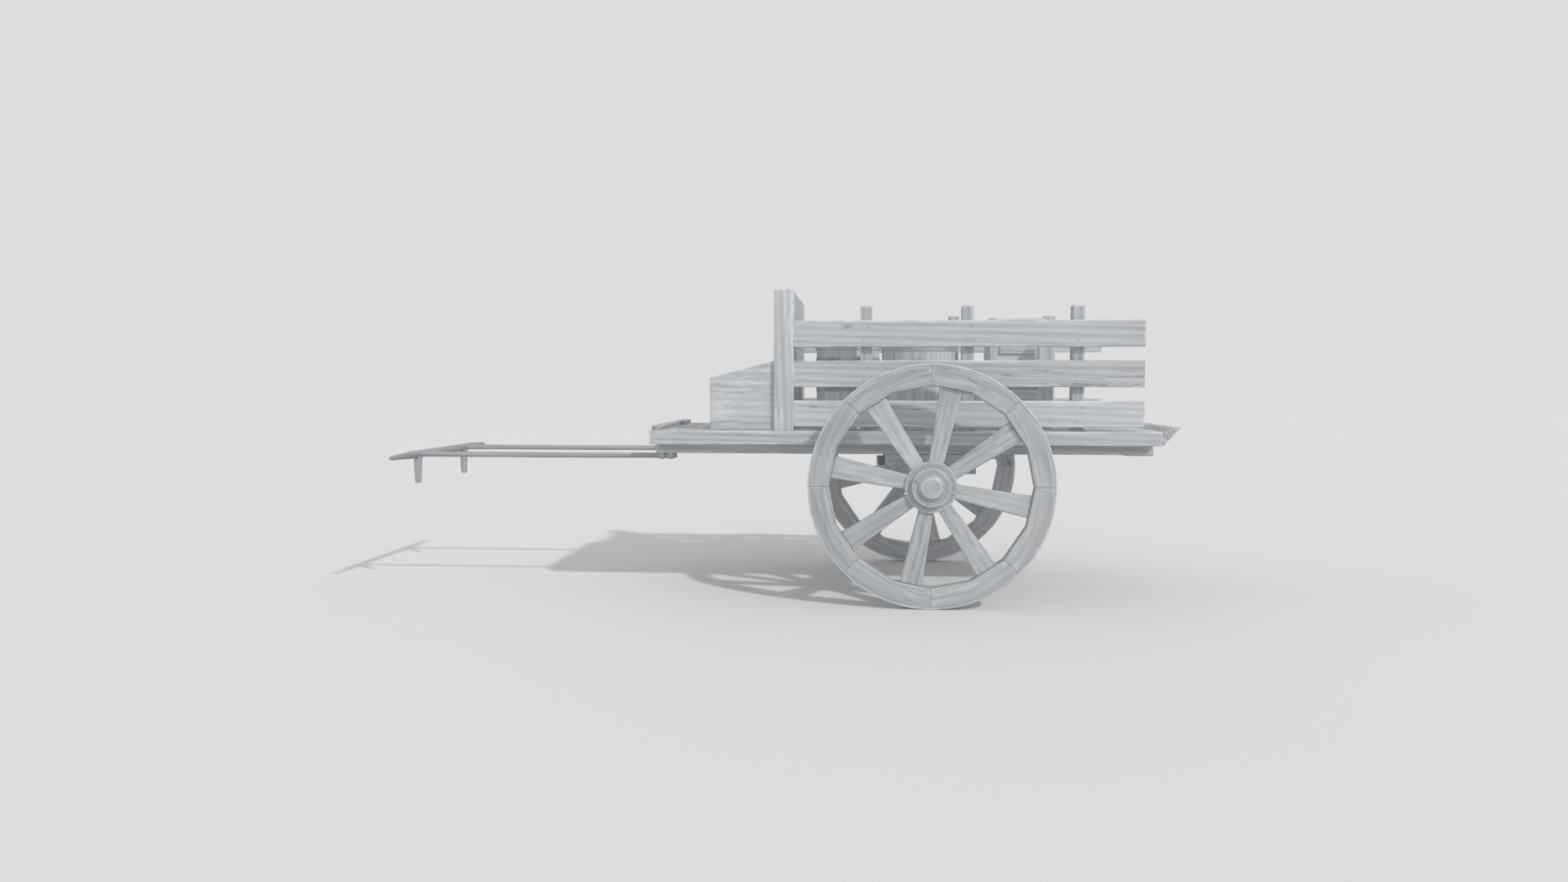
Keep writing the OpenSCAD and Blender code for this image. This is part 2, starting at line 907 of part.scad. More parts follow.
// Half-round iron clips with flat ears hold each shaft up under its beam.
module shaft_clips() {
    wall = 4;
    ear = 14;
    width = 26;
    r = shaft_d / 2;
    color(iron)
        at_axle()
            both_sides()
                for (x = [bed_x0 + 12, bed_x0 + shaft_under - width - 20])
                    translate([x, shaft_out, shaft_z])
                        rotate([90, 0, 90])
                            linear_extrude(height = width)
                                difference() {
                                    union() {
                                        circle(r = r + wall);
                                        translate([-r - wall, 0])
                                            square([2 * (r + wall), r]);
                                        translate([-r - wall - ear, r - wall])
                                            square([2 * (r + wall + ear), wall]);
                                    }
                                    circle(r = r);
                                    translate([-r, 0])
                                        square([2 * r, r + 1]);
                                    translate([-2 * r, r])
                                        square([4 * r, 2 * r]);
                                }
}

// A turned bar across the shafts' front ends, with a socket for each shaft and each peg.
module yoke() {
    half = yoke_l / 2;
    color(timber)
        at_axle()
            translate([-yoke_x, 0, shaft_z])
                difference() {
                    rotate([-90, 0, 0])
                        rotate_extrude()
                            polygon([
                                [0, -half],
                                [yoke_end_d / 2 - 3, -half],
                                [yoke_end_d / 2, -half + 3],
                                [yoke_d / 2, -half + yoke_taper],
                                [yoke_d / 2, half - yoke_taper],
                                [yoke_end_d / 2, half - 3],
                                [yoke_end_d / 2 - 3, half],
                                [0, half]
                            ]);
                    both_sides()
                        translate([0, shaft_out, 0]) {
                            translate([yoke_d / 2 - tenon_l, 0, 0])
                                rotate([0, 90, 0])
                                    cylinder(r = tenon_r, h = tenon_l + 1);
                            translate([0, 0, -yoke_d / 2 - 1])
                                cylinder(r = tenon_r, h = tenon_l + 1);
                        }
                }
}

// Tapered pegs that hang from the yoke, each held by a round tenon.
module yoke_pegs() {
    color(timber)
        at_axle()
            both_sides()
                translate([-yoke_x, shaft_out, shaft_z]) {
                    difference() {
                        translate([0, 0, -peg_l])
                            cylinder(d1 = peg_foot_d, d2 = peg_top_d, h = peg_l - yoke_d / 4);
                        across(yoke_d / 2, -peg_top_d, peg_top_d);
                        rotate([0, 90, 0])
                            cylinder(r = shaft_d / 2 + slip, h = peg_top_d);
                    }
                    translate([0, 0, -yoke_d / 2 - bite])
                        cylinder(r = tenon_r, h = tenon_l + bite);
                }
}

// ---- Nails and bolts ----

// A nail driven inwards from the face at out, with a low round head.
module nail(out, length) {
    translate([0, out - length, 0])
        rotate([-90, 0, 0])
            cylinder(r = 2, h = length);
    translate([0, out, 0])
        rotate([-90, 0, 0])
            cylinder(r1 = 4.5, r2 = 3, h = 1.6);
}

// Two nails hold each rail to each post.
module nails() {
    color(iron)
        at_axle()
            both_sides()
                for (x = post_x, i = [0 : 2], s = [-1, 1])
                    translate([x + s * post_w / 5, 0, deck_z + rail_z0 + i * rail_pitch + rail_h * (0.5 + s * 0.25)])
                        nail(rail_out, rail_t + 36);
}

// Coach bolts hold the posts to the beams, with a nut on the beam's inner face.
module post_bolts() {
    color(iron)
        at_axle()
            both_sides() {
                for (x = post_x)
                    post_bolt(x, rail_in);
                post_bolt((head_x0 + head_x1) / 2, rail_out);
            }
}

module post_bolt(x, out) {
    z = (post_foot + floor_z) / 2;
    inner = beam_out - beam_w;
    nut_h = 9;
    translate([x, 0, z]) {
        across(5, inner - nut_h - 5, out);
        across(11, out, out + 4);
        translate([0, inner - nut_h - slip, 0])
            rotate([-90, 0, 0])
                hex_nut(10, 5, nut_h);
    }
}

// ---- Load ----

module barrel_tub(d, h) {
    step = 360 / stave_n;
    gap = 0.15;
    foot = 24;
    bottom_t = 20;
    color(timber) {
        for (i = [0 : stave_n - 1])
            rotate([0, 0, i * step + gap])
                rotate_extrude(angle = step - 2 * gap)
                    translate([d / 2 - stave_t, 0])
                        square([stave_t, h]);
        translate([0, 0, foot])
            cylinder(r = d / 2 - stave_t - joint, h = bottom_t);
    }
}

// Three iron hoops round the staves.
module barrel_hoops(d, h) {
    wide = 30;
    thick = 2.5;
    color(iron)
        for (z = [h * 0.06, h * 0.47, h * 0.84])
            translate([0, 0, z])
                difference() {
                    cylinder(r = d / 2 + thick, h = wide);
                    translate([0, 0, -1])
                        cylinder(r = d / 2, h = wide + 2);
                }
}

// A lid that overhangs the staves, with a plug that centres it. It stands a hair above the staves.
module barrel_lid(d, h) {
    plug = 14;
    plug_gap = 1.5;
    seat = 0.1;
    color(timber)
        translate([0, 0, h + seat]) {
            cylinder(r = d / 2 + lid_lip, h = barrel_lid_t - seat);
            translate([0, 0, -plug])
                cylinder(r = d / 2 - stave_t - plug_gap, h = plug + 1);
        }
}

module at_small_barrel() {
    at_axle()
        translate([small_barrel_x, small_barrel_y, deck_z])
            children();
}

module at_large_barrel() {
    at_axle()
        translate([large_barrel_x, large_barrel_y, deck_z])
            children();
}

module small_barrel_tub() { at_small_barrel() barrel_tub(small_barrel_d, small_barrel_h); }
module small_barrel_hoops() { at_small_barrel() barrel_hoops(small_barrel_d, small_barrel_h); }
module small_barrel_lid() { at_small_barrel() barrel_lid(small_barrel_d, small_barrel_h); }
module large_barrel_tub() { at_large_barrel() barrel_tub(large_barrel_d, large_barrel_h); }
module large_barrel_hoops() { at_large_barrel() barrel_hoops(large_barrel_d, large_barrel_h); }
module large_barrel_lid() { at_large_barrel() barrel_lid(large_barrel_d, large_barrel_h); }

// A nailed crate: bottom, top and four panels, with a frame and a raised field on its two long faces.
// The field stands away from its frame by the reveal all round.
module crate(l, w, h, stile, foot, reveal) {
    x = l / 2;
    y = w / 2 - frame_t;
    j = crate_joint;
    color(timber) {
        bar([-x, -y, 0], [x, y, crate_t]);
        bar([-x, -y, h - crate_t], [x, y, h]);
        for (s = [-1, 1]) {
            translate([s * (x - crate_t / 2), 0, crate_t])
                bar([-crate_t / 2, -y, j], [crate_t / 2, y, h - 2 * crate_t - j]);
            translate([0, s * (y - crate_t / 2), crate_t])
                bar([crate_t + j - x, -crate_t / 2, j], [x - crate_t - j, crate_t / 2, h - 2 * crate_t - j]);
            translate([0, s * (y + frame_t / 2 + j / 2), 0])
                crate_frame(x, h, stile, foot, reveal);
        }
    }
}

// Two stiles, two rails and a thinner raised field, all nailed on one face.
module crate_frame(x, h, stile, foot, reveal) {
    half = (frame_t - crate_joint) / 2;
    j = crate_joint;
    for (s = [-1, 1])
        translate([s * (x - stile / 2), 0, 0])
            bar([-stile / 2, -half, 0], [stile / 2, half, h]);
    bar([stile + j - x, -half, 0], [x - stile - j, half, foot]);
    bar([stile + j - x, -half, h - stile], [x - stile - j, half, h]);
    bar([stile + reveal - x, joint - half, foot + reveal],
        [x - stile - reveal, half - joint, h - stile - reveal]);
}

module lower_crate() {
    at_axle()
        translate([crate_x, low_crate_y, deck_z])
            crate(low_crate_l, low_crate_w, low_crate_h, low_stile_w, low_stile_w, 12);
}

module upper_crate() {
    at_axle()
        translate([crate_x, top_crate_y, deck_z + low_crate_h])
            crate(top_crate_l, top_crate_w, top_crate_h, top_stile_w, top_foot_h, 24);
}

left_tyre();
left_felloes();
left_spokes();
left_nave();
left_nave_bands();
left_axle_box();
left_hub_cap();
right_tyre();
right_felloes();
right_spokes();
right_nave();
right_nave_bands();
right_axle_box();
right_hub_cap();
axle();
axle_fastenings();
axle_bed();
saddles();
axle_clamps();
floor_boards();
left_sill();
right_sill();
end_sills();
left_beam();
right_beam();
cross_bearers();
front_lip();
tail_lip();
tail_straps();
left_posts();
right_posts();
left_rails();
right_rails();
headboard_posts();
headboard_boards();
headboard_battens();
seat_sides();
seat_front();
seat_cleats();
seat_back_rail();
seat_lid();
hinge_plates();
hinge_straps();
hinge_pins();
left_shaft();
right_shaft();
shaft_clips();
yoke();
yoke_pegs();
nails();
post_bolts();
small_barrel_tub();
small_barrel_hoops();
small_barrel_lid();
large_barrel_tub();
large_barrel_hoops();
large_barrel_lid();
lower_crate();
upper_crate();
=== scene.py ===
import math

import bpy
import numpy as np
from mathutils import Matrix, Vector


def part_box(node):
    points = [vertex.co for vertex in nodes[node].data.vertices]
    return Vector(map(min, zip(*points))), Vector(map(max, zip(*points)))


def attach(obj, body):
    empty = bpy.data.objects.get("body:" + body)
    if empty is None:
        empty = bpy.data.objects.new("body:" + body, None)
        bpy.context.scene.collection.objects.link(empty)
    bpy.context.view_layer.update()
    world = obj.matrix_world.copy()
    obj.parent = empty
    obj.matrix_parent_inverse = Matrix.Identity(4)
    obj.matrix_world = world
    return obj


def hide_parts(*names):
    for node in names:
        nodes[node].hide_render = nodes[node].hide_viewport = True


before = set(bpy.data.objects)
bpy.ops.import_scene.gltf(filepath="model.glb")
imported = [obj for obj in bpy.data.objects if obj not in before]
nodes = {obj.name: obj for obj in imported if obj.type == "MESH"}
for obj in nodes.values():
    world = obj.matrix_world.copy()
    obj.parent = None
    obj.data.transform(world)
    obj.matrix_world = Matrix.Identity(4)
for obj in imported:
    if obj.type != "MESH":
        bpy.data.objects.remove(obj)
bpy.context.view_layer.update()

# ---- Sills, beams and bearers ----
# The bed's frame is sawn softwood, long since gone silver grey. Two beams carry cross bearers, and a sill
# edges each side. Everything is eased along its arrises by years of handling.

tyre_low, tyre_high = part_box("right_tyre")
axle_x = (tyre_low[0] + tyre_high[0]) / 2
axle_z = (tyre_low[2] + tyre_high[2]) / 2
chance = np.random.default_rng(1907)
# Each direction's own axis, and the two across it.
AXES = {"x": (0, 1, 2), "y": (1, 2, 0), "z": (2, 0, 1)}
LEFT_AND_RIGHT = (("left", -1), ("right", 1))
# The middle of a quarter round lies this share of its radius away from the corner, along both sides.
arc_share = 0.293


def drawn_in(outline, depth):
    """Moves every side of a closed outline inwards by depth. A corner moves by depth times the sum of its
    two sides' inward unit normals, over one plus their dot product."""
    side = np.roll(outline, -1, axis=0) - outline
    side = side / np.linalg.norm(side, axis=1)[:, None]
    inward = np.stack([-side[:, 1], side[:, 0]], axis=1)
    before = np.roll(inward, 1, axis=0)
    return outline + depth * (before + inward) / (1 + (before * inward).sum(axis=1))[:, None]


def sharp_corners(outline, least=20):
    """Corners of a closed outline where it turns by more than some degrees."""
    side = np.roll(outline, -1, axis=0) - outline
    before = np.roll(side, 1, axis=0)
    turn = before[:, 0] * side[:, 1] - before[:, 1] * side[:, 0]
    return np.abs(np.degrees(np.arctan2(turn, (before * side).sum(axis=1)))) > least


def eased(outline, sharp, ease, flank):
    """Rounds an outline's sharp corners: each becomes three points on an arc of radius ease, with one more
    point a flank's length away on both sides. Gives the points and how worn each one is, 0 or 1."""
    back = np.roll(outline, 1, axis=0) - outline
    on = np.roll(outline, -1, axis=0) - outline
    back_l = np.linalg.norm(back, axis=1)[:, None]
    on_l = np.linalg.norm(on, axis=1)[:, None]
    back, on = back / back_l, on / on_l
    arc_limit, flank_limit = 0.25, 0.45
    small = np.minimum(ease, arc_limit * np.minimum(back_l, on_l))
    points = np.stack([
        outline + back * np.minimum(flank, flank_limit * back_l),
        outline + back * small,
        outline + (back + on) * small * arc_share,
        outline + on * small,
        outline + on * np.minimum(flank, flank_limit * on_l),
    ], axis=1)
    points[~sharp, 2] = outline[~sharp]
    keep = np.where(sharp[:, None], True, np.array([False, False, True, False, False]))
    worn = np.where(sharp[:, None], np.array([0.0, 1.0, 1.0, 1.0, 0.0]), 0.0)
    return points[keep], worn[keep]


def outward(points, quads, caps):
    """Turns all faces round if the closed shape's signed volume, the sum of its corners' triple products,
    comes out negative."""
    corners = points[quads]
    volume = np.einsum("ij,ij->i", corners[:, 0], np.cross(corners[:, 1], corners[:, 2])).sum()
    volume += np.einsum("ij,ij->i", corners[:, 0], np.cross(corners[:, 2], corners[:, 3])).sum()
    for cap in caps:
        ring = points[cap]
        volume += (ring[0] * np.cross(ring[1:-1], ring[2:])).sum()
    if volume < 0:
        return quads[:, ::-1], [cap[::-1] for cap in caps]
    return quads, caps


def ring_quads(rings, count, closed=False):
    """Four-cornered faces between neighbouring rings of count points each."""
    j = np.arange(rings if closed else rings - 1)[:, None]
    i = np.arange(count)[None, :]
    after, beside = (j + 1) % rings, (i + 1) % count
    corners = [j * count + i, j * count + beside, after * count + beside, after * count + i]
    return np.stack(corners, axis=-1).reshape(-1, 4)


def stick(outline, low, high, along, ease=0.0025, bow=0.0, grain=None, step=0.14, face=4.0):
    """A piece of timber. A closed outline, in the two other axes, is carried from low to high along an
    axis. At both ends it draws in over a quarter round, and its middle line bows by two sine waves."""
    ease_limit, face_limit = 0.2, 0.3
    ease_lost, least_ease = 0.7, 0.25
    outline = np.asarray(outline, dtype=float)
    axis, a, b = AXES[along]
    if along == "y":
        outline = outline[:, ::-1]
    after = np.roll(outline, -1, axis=0)
    if (outline[:, 0] * after[:, 1] - outline[:, 1] * after[:, 0]).sum() < 0:
        outline = outline[::-1]
    sharp = sharp_corners(outline)
    length = high - low
    size = outline.max(axis=0) - outline.min(axis=0)
    ease = min(ease, ease_limit * length, ease_limit * size.min())
    wide = min(face * ease, face_limit * length, face_limit * size.min())
    middle = np.linspace(wide, length - wide, 2 + int(length / step))
    on_arc = 0.29 * ease
    start = np.array([0, 0, on_arc, ease])
    depth = np.array([wide, ease, on_arc, 0.0])
    at = np.concatenate([start, middle, length - start[::-1]])
    inset = np.concatenate([depth, np.zeros(len(middle)), depth[::-1]])
    worn_at = np.concatenate([[0, 1, 1, 1], np.zeros(len(middle)), [1, 1, 1, 0]])
    rings, worn = [], []
    for d in depth:
        ring_ease = max(ease - ease_lost * d, least_ease * ease)
        ring, worn_ring = eased(drawn_in(outline, d), sharp, ring_ease, face * ease)
        rings.append(ring)
        worn.append(worn_ring)
    pick = np.abs(depth - inset[:, None]).argmin(axis=1)
    flat = np.stack(rings)[pick]
    centre = (outline.max(axis=0) + outline.min(axis=0)) / 2
    if bow:
        phase = chance.uniform(0, 2 * math.pi, (2, 2))
        long_wave, short_wave = 2.3, 7.9
        wave = np.sin(at[:, None] * long_wave + phase[0]) * 0.6
        wave = wave + np.sin(at[:, None] * short_wave + phase[1]) * 0.4
        flat = centre + (flat - centre) * (1 - 2 * bow / size) + (bow * wave)[:, None, :]
    count = flat.shape[1]
    points = np.zeros((len(at), count, 3))
    points[..., axis] = (low + at)[:, None]
    points[..., a] = flat[..., 0]
    points[..., b] = flat[..., 1]
    worn = np.maximum(np.stack(worn)[pick], worn_at[:, None])
    end = np.zeros((len(at), count))
    if grain in (None, along):
        end[[0, -1]] = 1
    points = points.reshape(-1, 3)
    caps = [list(range(count))[::-1], list(range((len(at) - 1) * count, len(at) * count))]
    quads, caps = outward(points, ring_quads(len(at), count), caps)
    order = AXES[grain or along]
    return finished(points, quads, caps, points[:, order], worn.ravel(), end.ravel())


def finished(points, quads, caps, grain, worn=None, end=None):
    """One closed solid of a piece, with its own place in the grain and its own tone."""
    none = np.zeros(len(points))
    return {
        "points": points, "quads": quads, "caps": caps,
        "grain": grain + chance.uniform(-9, 9, 3), "tone": none + chance.uniform(0, 1),
        "worn": none if worn is None else worn, "end": none if end is None else end,
    }


def box_stick(low, high, along, **more):
    """A stick with a plain four-cornered section, given by its lowest and highest corner."""
    axis = "xyz".index(along)
    a, b = [i for i in range(3) if i != axis]
    section = [(low[a], low[b]), (high[a], low[b]), (high[a], high[b]), (low[a], high[b])]
    return stick(section, low[axis], high[axis], along, **more)


def side_stick(side, x_range, out_range, z_range, along, **more):
    """A box_stick on the left, -1, or the right, 1, given by its distances out from the middle line."""
    low_y, high_y = sorted(side * out for out in out_range)
    return box_stick((x_range[0], low_y, z_range[0]), (x_range[1], high_y, z_range[1]), along, **more)


def piece(name, solids, body, stands_for, finish):
    """Joins solids into one object with the attributes that the finishes read, and puts it on its body."""
    starts = np.cumsum([0] + [len(s["points"]) for s in solids[:-1]])
    faces = []
    for s, first in zip(solids, starts):
        faces += (s["quads"] + first).tolist()
        faces += [[int(i) + int(first) for i in cap] for cap in s["caps"]]
    mesh = bpy.data.meshes.new(name)
    mesh.from_pydata(np.concatenate([s["points"] for s in solids]).tolist(), [], faces)
    fields = (("grain", "FLOAT_VECTOR", "vector"), ("tone", "FLOAT", "value"),
              ("worn", "FLOAT", "value"), ("end", "FLOAT", "value"))
    for key, kind, field in fields:
        values = np.concatenate([s[key] for s in solids]).astype(np.float32).ravel()
        mesh.attributes.new(key, kind, "POINT").data.foreach_set(field, values)
    mesh.polygons.foreach_set("use_smooth", np.ones(len(mesh.polygons), dtype=bool))
    mesh.update()
    made = bpy.data.objects.new(name, mesh)
    bpy.context.scene.collection.objects.link(made)
    mesh.materials.append(finish)
    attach(made, body)
    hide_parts(*stands_for)


def joined_nodes(tree):
    """A short way to add a node, set its fields and inputs, and link what is already there into it."""
    def add(kind, settings=None, **inputs):
        made = tree.nodes.new("ShaderNode" + kind)
        for key, value in (settings or {}).items():
            setattr(made, key, value)
        for key, value in inputs.items():
            socket = made.inputs[int(key[1:]) if key[1:].isdigit() else key.replace("_", " ")]
            if isinstance(value, bpy.types.NodeSocket):
                tree.links.new(value, socket)
            else:
                socket.default_value = value
        return made
    return add


def ramp_between(add, value, low, high, out_low=0.0, out_high=1.0):
    """Value mapped evenly from low..high to out_low..out_high, and held at both ends."""
    return add("MapRange", _0=value, _1=low, _2=high, _3=out_low, _4=out_high).outputs[0]


def grey_timber(name, dark, light, warm, contrast=1.0, fibre=1.0):
    """Weathered timber. Stretched noise makes the fibres, a warped wave the growth rings, thin bands of
    noise the checks, and cells with few members the knots. Worn arrises are paler, and end grain darker."""
    made = bpy.data.materials.new(name)
    made.use_nodes = True
    tree = made.node_tree
    shader = tree.nodes["Principled BSDF"]
    add = joined_nodes(tree)
    grain = add("Attribute", {"attribute_name": "grain"}).outputs["Vector"]
    tone = add("Attribute", {"attribute_name": "tone"}).outputs["Fac"]
    worn = add("Attribute", {"attribute_name": "worn"}).outputs["Fac"]
    end = add("Attribute", {"attribute_name": "end"}).outputs["Fac"]
    place = add("TexCoord").outputs["Object"]

    def stretched(long, cross):
        return add("Mapping", Vector=grain, Scale=(long, cross, cross)).outputs[0]

    def noise(vector, scale, detail=4.0, rough=0.6, warp=0.0):
        return add("TexNoise", Vector=vector, Scale=scale, Detail=detail, Roughness=rough,
                   Distortion=warp).outputs["Fac"]

    def sums(kind, a, b):
        return add("Math", {"operation": kind}, _0=a, _1=b).outputs[0]

    broad = noise(stretched(1.1, 16.0), 1.0, 5.0, 0.62, 0.5)
    fibres = noise(stretched(3.0, 120.0), 1.0, 6.0, 0.7)
    hairs = noise(stretched(12.0, 620.0), 1.0, 2.0, 0.6)
    rings = add("TexWave", {"wave_type": "BANDS", "bands_direction": "DIAGONAL"},
                Vector=stretched(0.5, 17.0), Scale=1.0, Distortion=5.5, Detail=3.0,
                Detail_Scale=0.7, Detail_Roughness=0.6).outputs["Fac"]
    crack_noise = noise(stretched(1.6, 46.0), 1.0, 3.0, 0.5, 0.3)
    off_middle = sums("ABSOLUTE", sums("SUBTRACT", crack_noise, 0.5), 0.0)
    crack_line = ramp_between(add, off_middle, 0.0, 0.013, 1.0, 0.0)
    crack_where = ramp_between(add, noise(stretched(0.9, 5.0), 1.0, 2.0), 0.54, 0.66)
    cracks = sums("MULTIPLY", crack_line, crack_where)
    cells = add("TexVoronoi", {"feature": "F1"}, Vector=stretched(3.4, 9.0), Scale=1.0)
    few = add("SeparateColor", Color=cells.outputs["Color"]).outputs[0]
    knots = sums("MULTIPLY", ramp_between(add, cells.outputs["Distance"], 0.07, 0.15, 1.0, 0.0),
                 ramp_between(add, few, 0.78, 0.8))
    blotch = noise(place, 2.3, 4.0, 0.55)

    level = sums("ADD", sums("MULTIPLY", sums("SUBTRACT", broad, 0.5), 0.34 * contrast), 0.5)
    for value, amount in ((fibres, 0.30 * fibre), (hairs, 0.16 * fibre), (rings, 0.15 * contrast),
                          (blotch, 0.22 * contrast), (tone, 0.20 * contrast)):
        step_in = sums("MULTIPLY", sums("SUBTRACT", value, 0.5), amount)
        level = sums("ADD", level, step_in)
    chipped = sums("MULTIPLY", worn, ramp_between(add, noise(stretched(9.0, 40.0), 1.0, 3.0), 0.38, 0.62))
    level = sums("ADD", level, sums("MULTIPLY", chipped, 0.26))
    level = sums("SUBTRACT", level, sums("MULTIPLY", end, 0.16))
    level = sums("SUBTRACT", level, sums("MULTIPLY", cracks, 0.55))
    level = sums("SUBTRACT", level, sums("MULTIPLY", knots, 0.30))
    colour = add("ValToRGB", Fac=level)
    stops = colour.color_ramp.elements
    stops[0].position, stops[0].color = 0.0, (*[c * 0.45 for c in dark], 1)
    stops[1].position, stops[1].color = 1.0, (*light, 1)
    middle = stops.new(0.36)
    middle.color = (*dark, 1)
    warm_patches = ramp_between(add, noise(place, 1.1, 3.0), 0.52, 0.75, 0.0, 0.22)
    tinted = add("Mix", {"data_type": "RGBA", "blend_type": "MIX"}, _0=warm_patches,
                 _6=colour.outputs[0], _7=(*warm, 1))
    tree.links.new(tinted.outputs[2], shader.inputs["Base Color"])
    tree.links.new(ramp_between(add, fibres, 0.2, 0.8, 0.92, 0.70), shader.inputs["Roughness"])
    shader.inputs["Specular IOR Level"].default_value = 0.28
    relief = sums("ADD", sums("MULTIPLY", fibres, 0.55), sums("MULTIPLY", hairs, 0.35))
    relief = sums("ADD", relief, sums("MULTIPLY", rings, 0.25))
    relief = sums("SUBTRACT", relief, sums("MULTIPLY", cracks, 1.6))
    bump = add("Bump", Height=relief, Strength=0.55, Distance=0.0011)
    tree.links.new(bump.outputs[0], shader.inputs["Normal"])
    return made


bed_timber = grey_timber("bed_timber", (0.228, 0.240, 0.254), (0.439, 0.455, 0.468),
                         (0.320, 0.307, 0.286))

# Heights up from the floor, distances out from the middle line, and places along the bed, in metres.
deck_z = 0.879
floor_z = 0.845
sill_z = 0.806
beam_z = 0.749
bed_half = 0.559
sill_in = 0.514
beam_out = 0.390
beam_in = 0.310
bed_front = axle_x - 1.445
bed_back = axle_x + 1.165
head_front = axle_x - 0.799
head_back = axle_x - 0.697
post_places = [axle_x - 0.322, axle_x + 0.201, axle_x + 0.761]
bed_run = (bed_front, bed_back)

for name, side in LEFT_AND_RIGHT:
    sill = side_stick(side, bed_run, (sill_in, bed_half), (sill_z, deck_z), "x", ease=0.004, bow=0.0008)
    piece(name + "_sill_timber", [sill], "cart", [name + "_sill"], bed_timber)
    beam = side_stick(side, bed_run, (beam_in, beam_out), (beam_z, floor_z), "x", ease=0.005, bow=0.0010)
    piece(name + "_beam_timber", [beam], "cart", [name + "_beam"], bed_timber)

end_t = 0.030
end_boards = [
    box_stick((x, low, sill_z), (x + end_t, high, floor_z), "y", ease=0.003)
    for x in (bed_front, bed_back - end_t)
    for low, high in ((-sill_in, -beam_out), (-beam_in, beam_in), (beam_out, sill_in))
]
piece("end_boards", end_boards, "cart", ["end_sills"], bed_timber)

bearer_half = 0.040
bearer_h = 0.070
from_end = 0.150
uprights = [head_back, *post_places]
midway = [(a + b) / 2 for a, b in zip(uprights, uprights[1:])]
bearer_places = [bed_front + from_end, *midway, bed_back - from_end]
bearers = [
    box_stick((x - bearer_half, -beam_in, floor_z - bearer_h), (x + bearer_half, beam_in, floor_z), "y",
              ease=0.004, bow=0.0008)
    for x in bearer_places
]
piece("bearer_timbers", bearers, "cart", ["cross_bearers"], bed_timber)

# ---- Floor boards and lips ----
# Twenty boards lie across the beams, a thin gap between each two, and are notched round the posts. A low
# bar stops the load at the front, and a wedge of timber slopes off the tail.

floor_gap = 0.0025
board_count = 20
board_pitch = (bed_back - bed_front) / board_count
post_half = 0.031
rail_out = 0.504
rail_in = 0.470
notch = 0.001
least_bite = 0.002
holes = [(head_front - notch, head_back + notch)]
holes += [(x - post_half - notch, x + post_half + notch) for x in post_places]


def edge_of_board(x0, x1):
    """The outline of one floor board's right half, from its front edge to its back edge, with a bite out
    of its end wherever a post passes."""
    line = [(x0, sill_in)]
    for low, high in holes:
        low, high = max(low, x0), min(high, x1)
        if high - low < least_bite:
            continue
        inner = beam_out - notch
        if low > x0:
            line += [(low, sill_in), (low, inner)]
        else:
            line[-1] = (x0, inner)
        line += [(high, inner), (high, sill_in)] if high < x1 else [(x1, inner)]
    if line[-1][0] < x1:
        line.append((x1, sill_in))
    return line


floor = []
for i in range(board_count):
    x0 = bed_front + i * board_pitch + floor_gap / 2
    x1 = bed_front + (i + 1) * board_pitch - floor_gap / 2
    line = edge_of_board(x0, x1)
    outline = line + [(x, -y) for x, y in line[::-1]]
    floor.append(stick(outline, floor_z, deck_z, "z", ease=0.003, grain="y"))
piece("floor_planks", floor, "cart", ["floor_boards"], bed_timber)

bar_w = 0.047
bar_h = 0.024
front_bar = box_stick((bed_front, -rail_out, deck_z), (bed_front + bar_w, rail_out, deck_z + bar_h), "y",
                      ease=0.004)
piece("front_bar", [front_bar], "cart", ["front_lip"], bed_timber)

lip_x = bed_back + 0.090
lip_z = deck_z + 0.022
lip_flat = 0.045
lip_step = 0.006
lip_outline = [(bed_back, sill_z), (lip_x, lip_z), (lip_x - lip_flat, lip_z),
               (bed_back, deck_z - lip_step)]
wedge = stick(lip_outline, -bed_half, bed_half, "y", ease=0.004)
piece("tail_wedge", [wedge], "cart", ["tail_lip"], bed_timber)

# ---- Posts and rails ----
# Three square posts stand in the floor on each side, bolted to the beams. Three wide rails are nailed to
# their outer faces, and run back past the last post.

# Painted light: this timber is paler than the bed's, so the rails and headboard posts, which stand highest,
# read brighter as if more light fell on them.
rail_timber_painted_light = grey_timber("rail_timber_painted_light", (0.278, 0.292, 0.305), (0.523, 0.539, 0.554),
                          (0.381, 0.367, 0.343), 0.9)

post_foot = sill_z
post_top = deck_z + 0.643
rail_back = axle_x + 1.087
rail_h = 0.139
rail_pitch = 0.206
rail_feet = [deck_z + 0.017 + i * rail_pitch for i in range(3)]
for name, side in LEFT_AND_RIGHT:
    posts = [
        side_stick(side, (x - post_half, x + post_half), (beam_out, rail_in), (post_foot, post_top), "z",
                   ease=0.004, bow=0.0006)
        for x in post_places
    ]
    piece(name + "_post_timbers", posts, "cart", [name + "_posts"], bed_timber)
    rails = [
        side_stick(side, (head_back, rail_back), (rail_in, rail_out), (foot, foot + rail_h), "x",
                   ease=0.004, bow=0.0012)
        for foot in rail_feet
    ]
    piece(name + "_rail_timbers", rails, "cart", [name + "_rails"], rail_timber_painted_light)

# ---- Headboard ----
# Two stout posts with rounded heads stand at the load's front, with five boards between them and two
# battens nailed up the boards' front faces.

head_h = 0.731
head_round = 0.010
head_shoulder = deck_z + head_h - head_round
arc = np.radians(np.linspace(0, 90, 5))
falling, rising = head_round * np.cos(arc), head_round * np.sin(arc)
head_outline = np.concatenate([
    [(head_front, post_foot), (head_back, post_foot)],
    np.stack([head_back - head_round + falling, head_shoulder + rising], 1),
    np.stack([head_front + head_round - rising, head_shoulder + falling], 1),
])
head_posts = [
    stick(head_outline, *sorted((side * beam_out, side * rail_out)), "y", ease=0.004, grain="z", face=2.0)
    for side in (-1, 1)
]
piece("headboard_post_timbers", head_posts, "cart", ["headboard_posts"], rail_timber_painted_light)

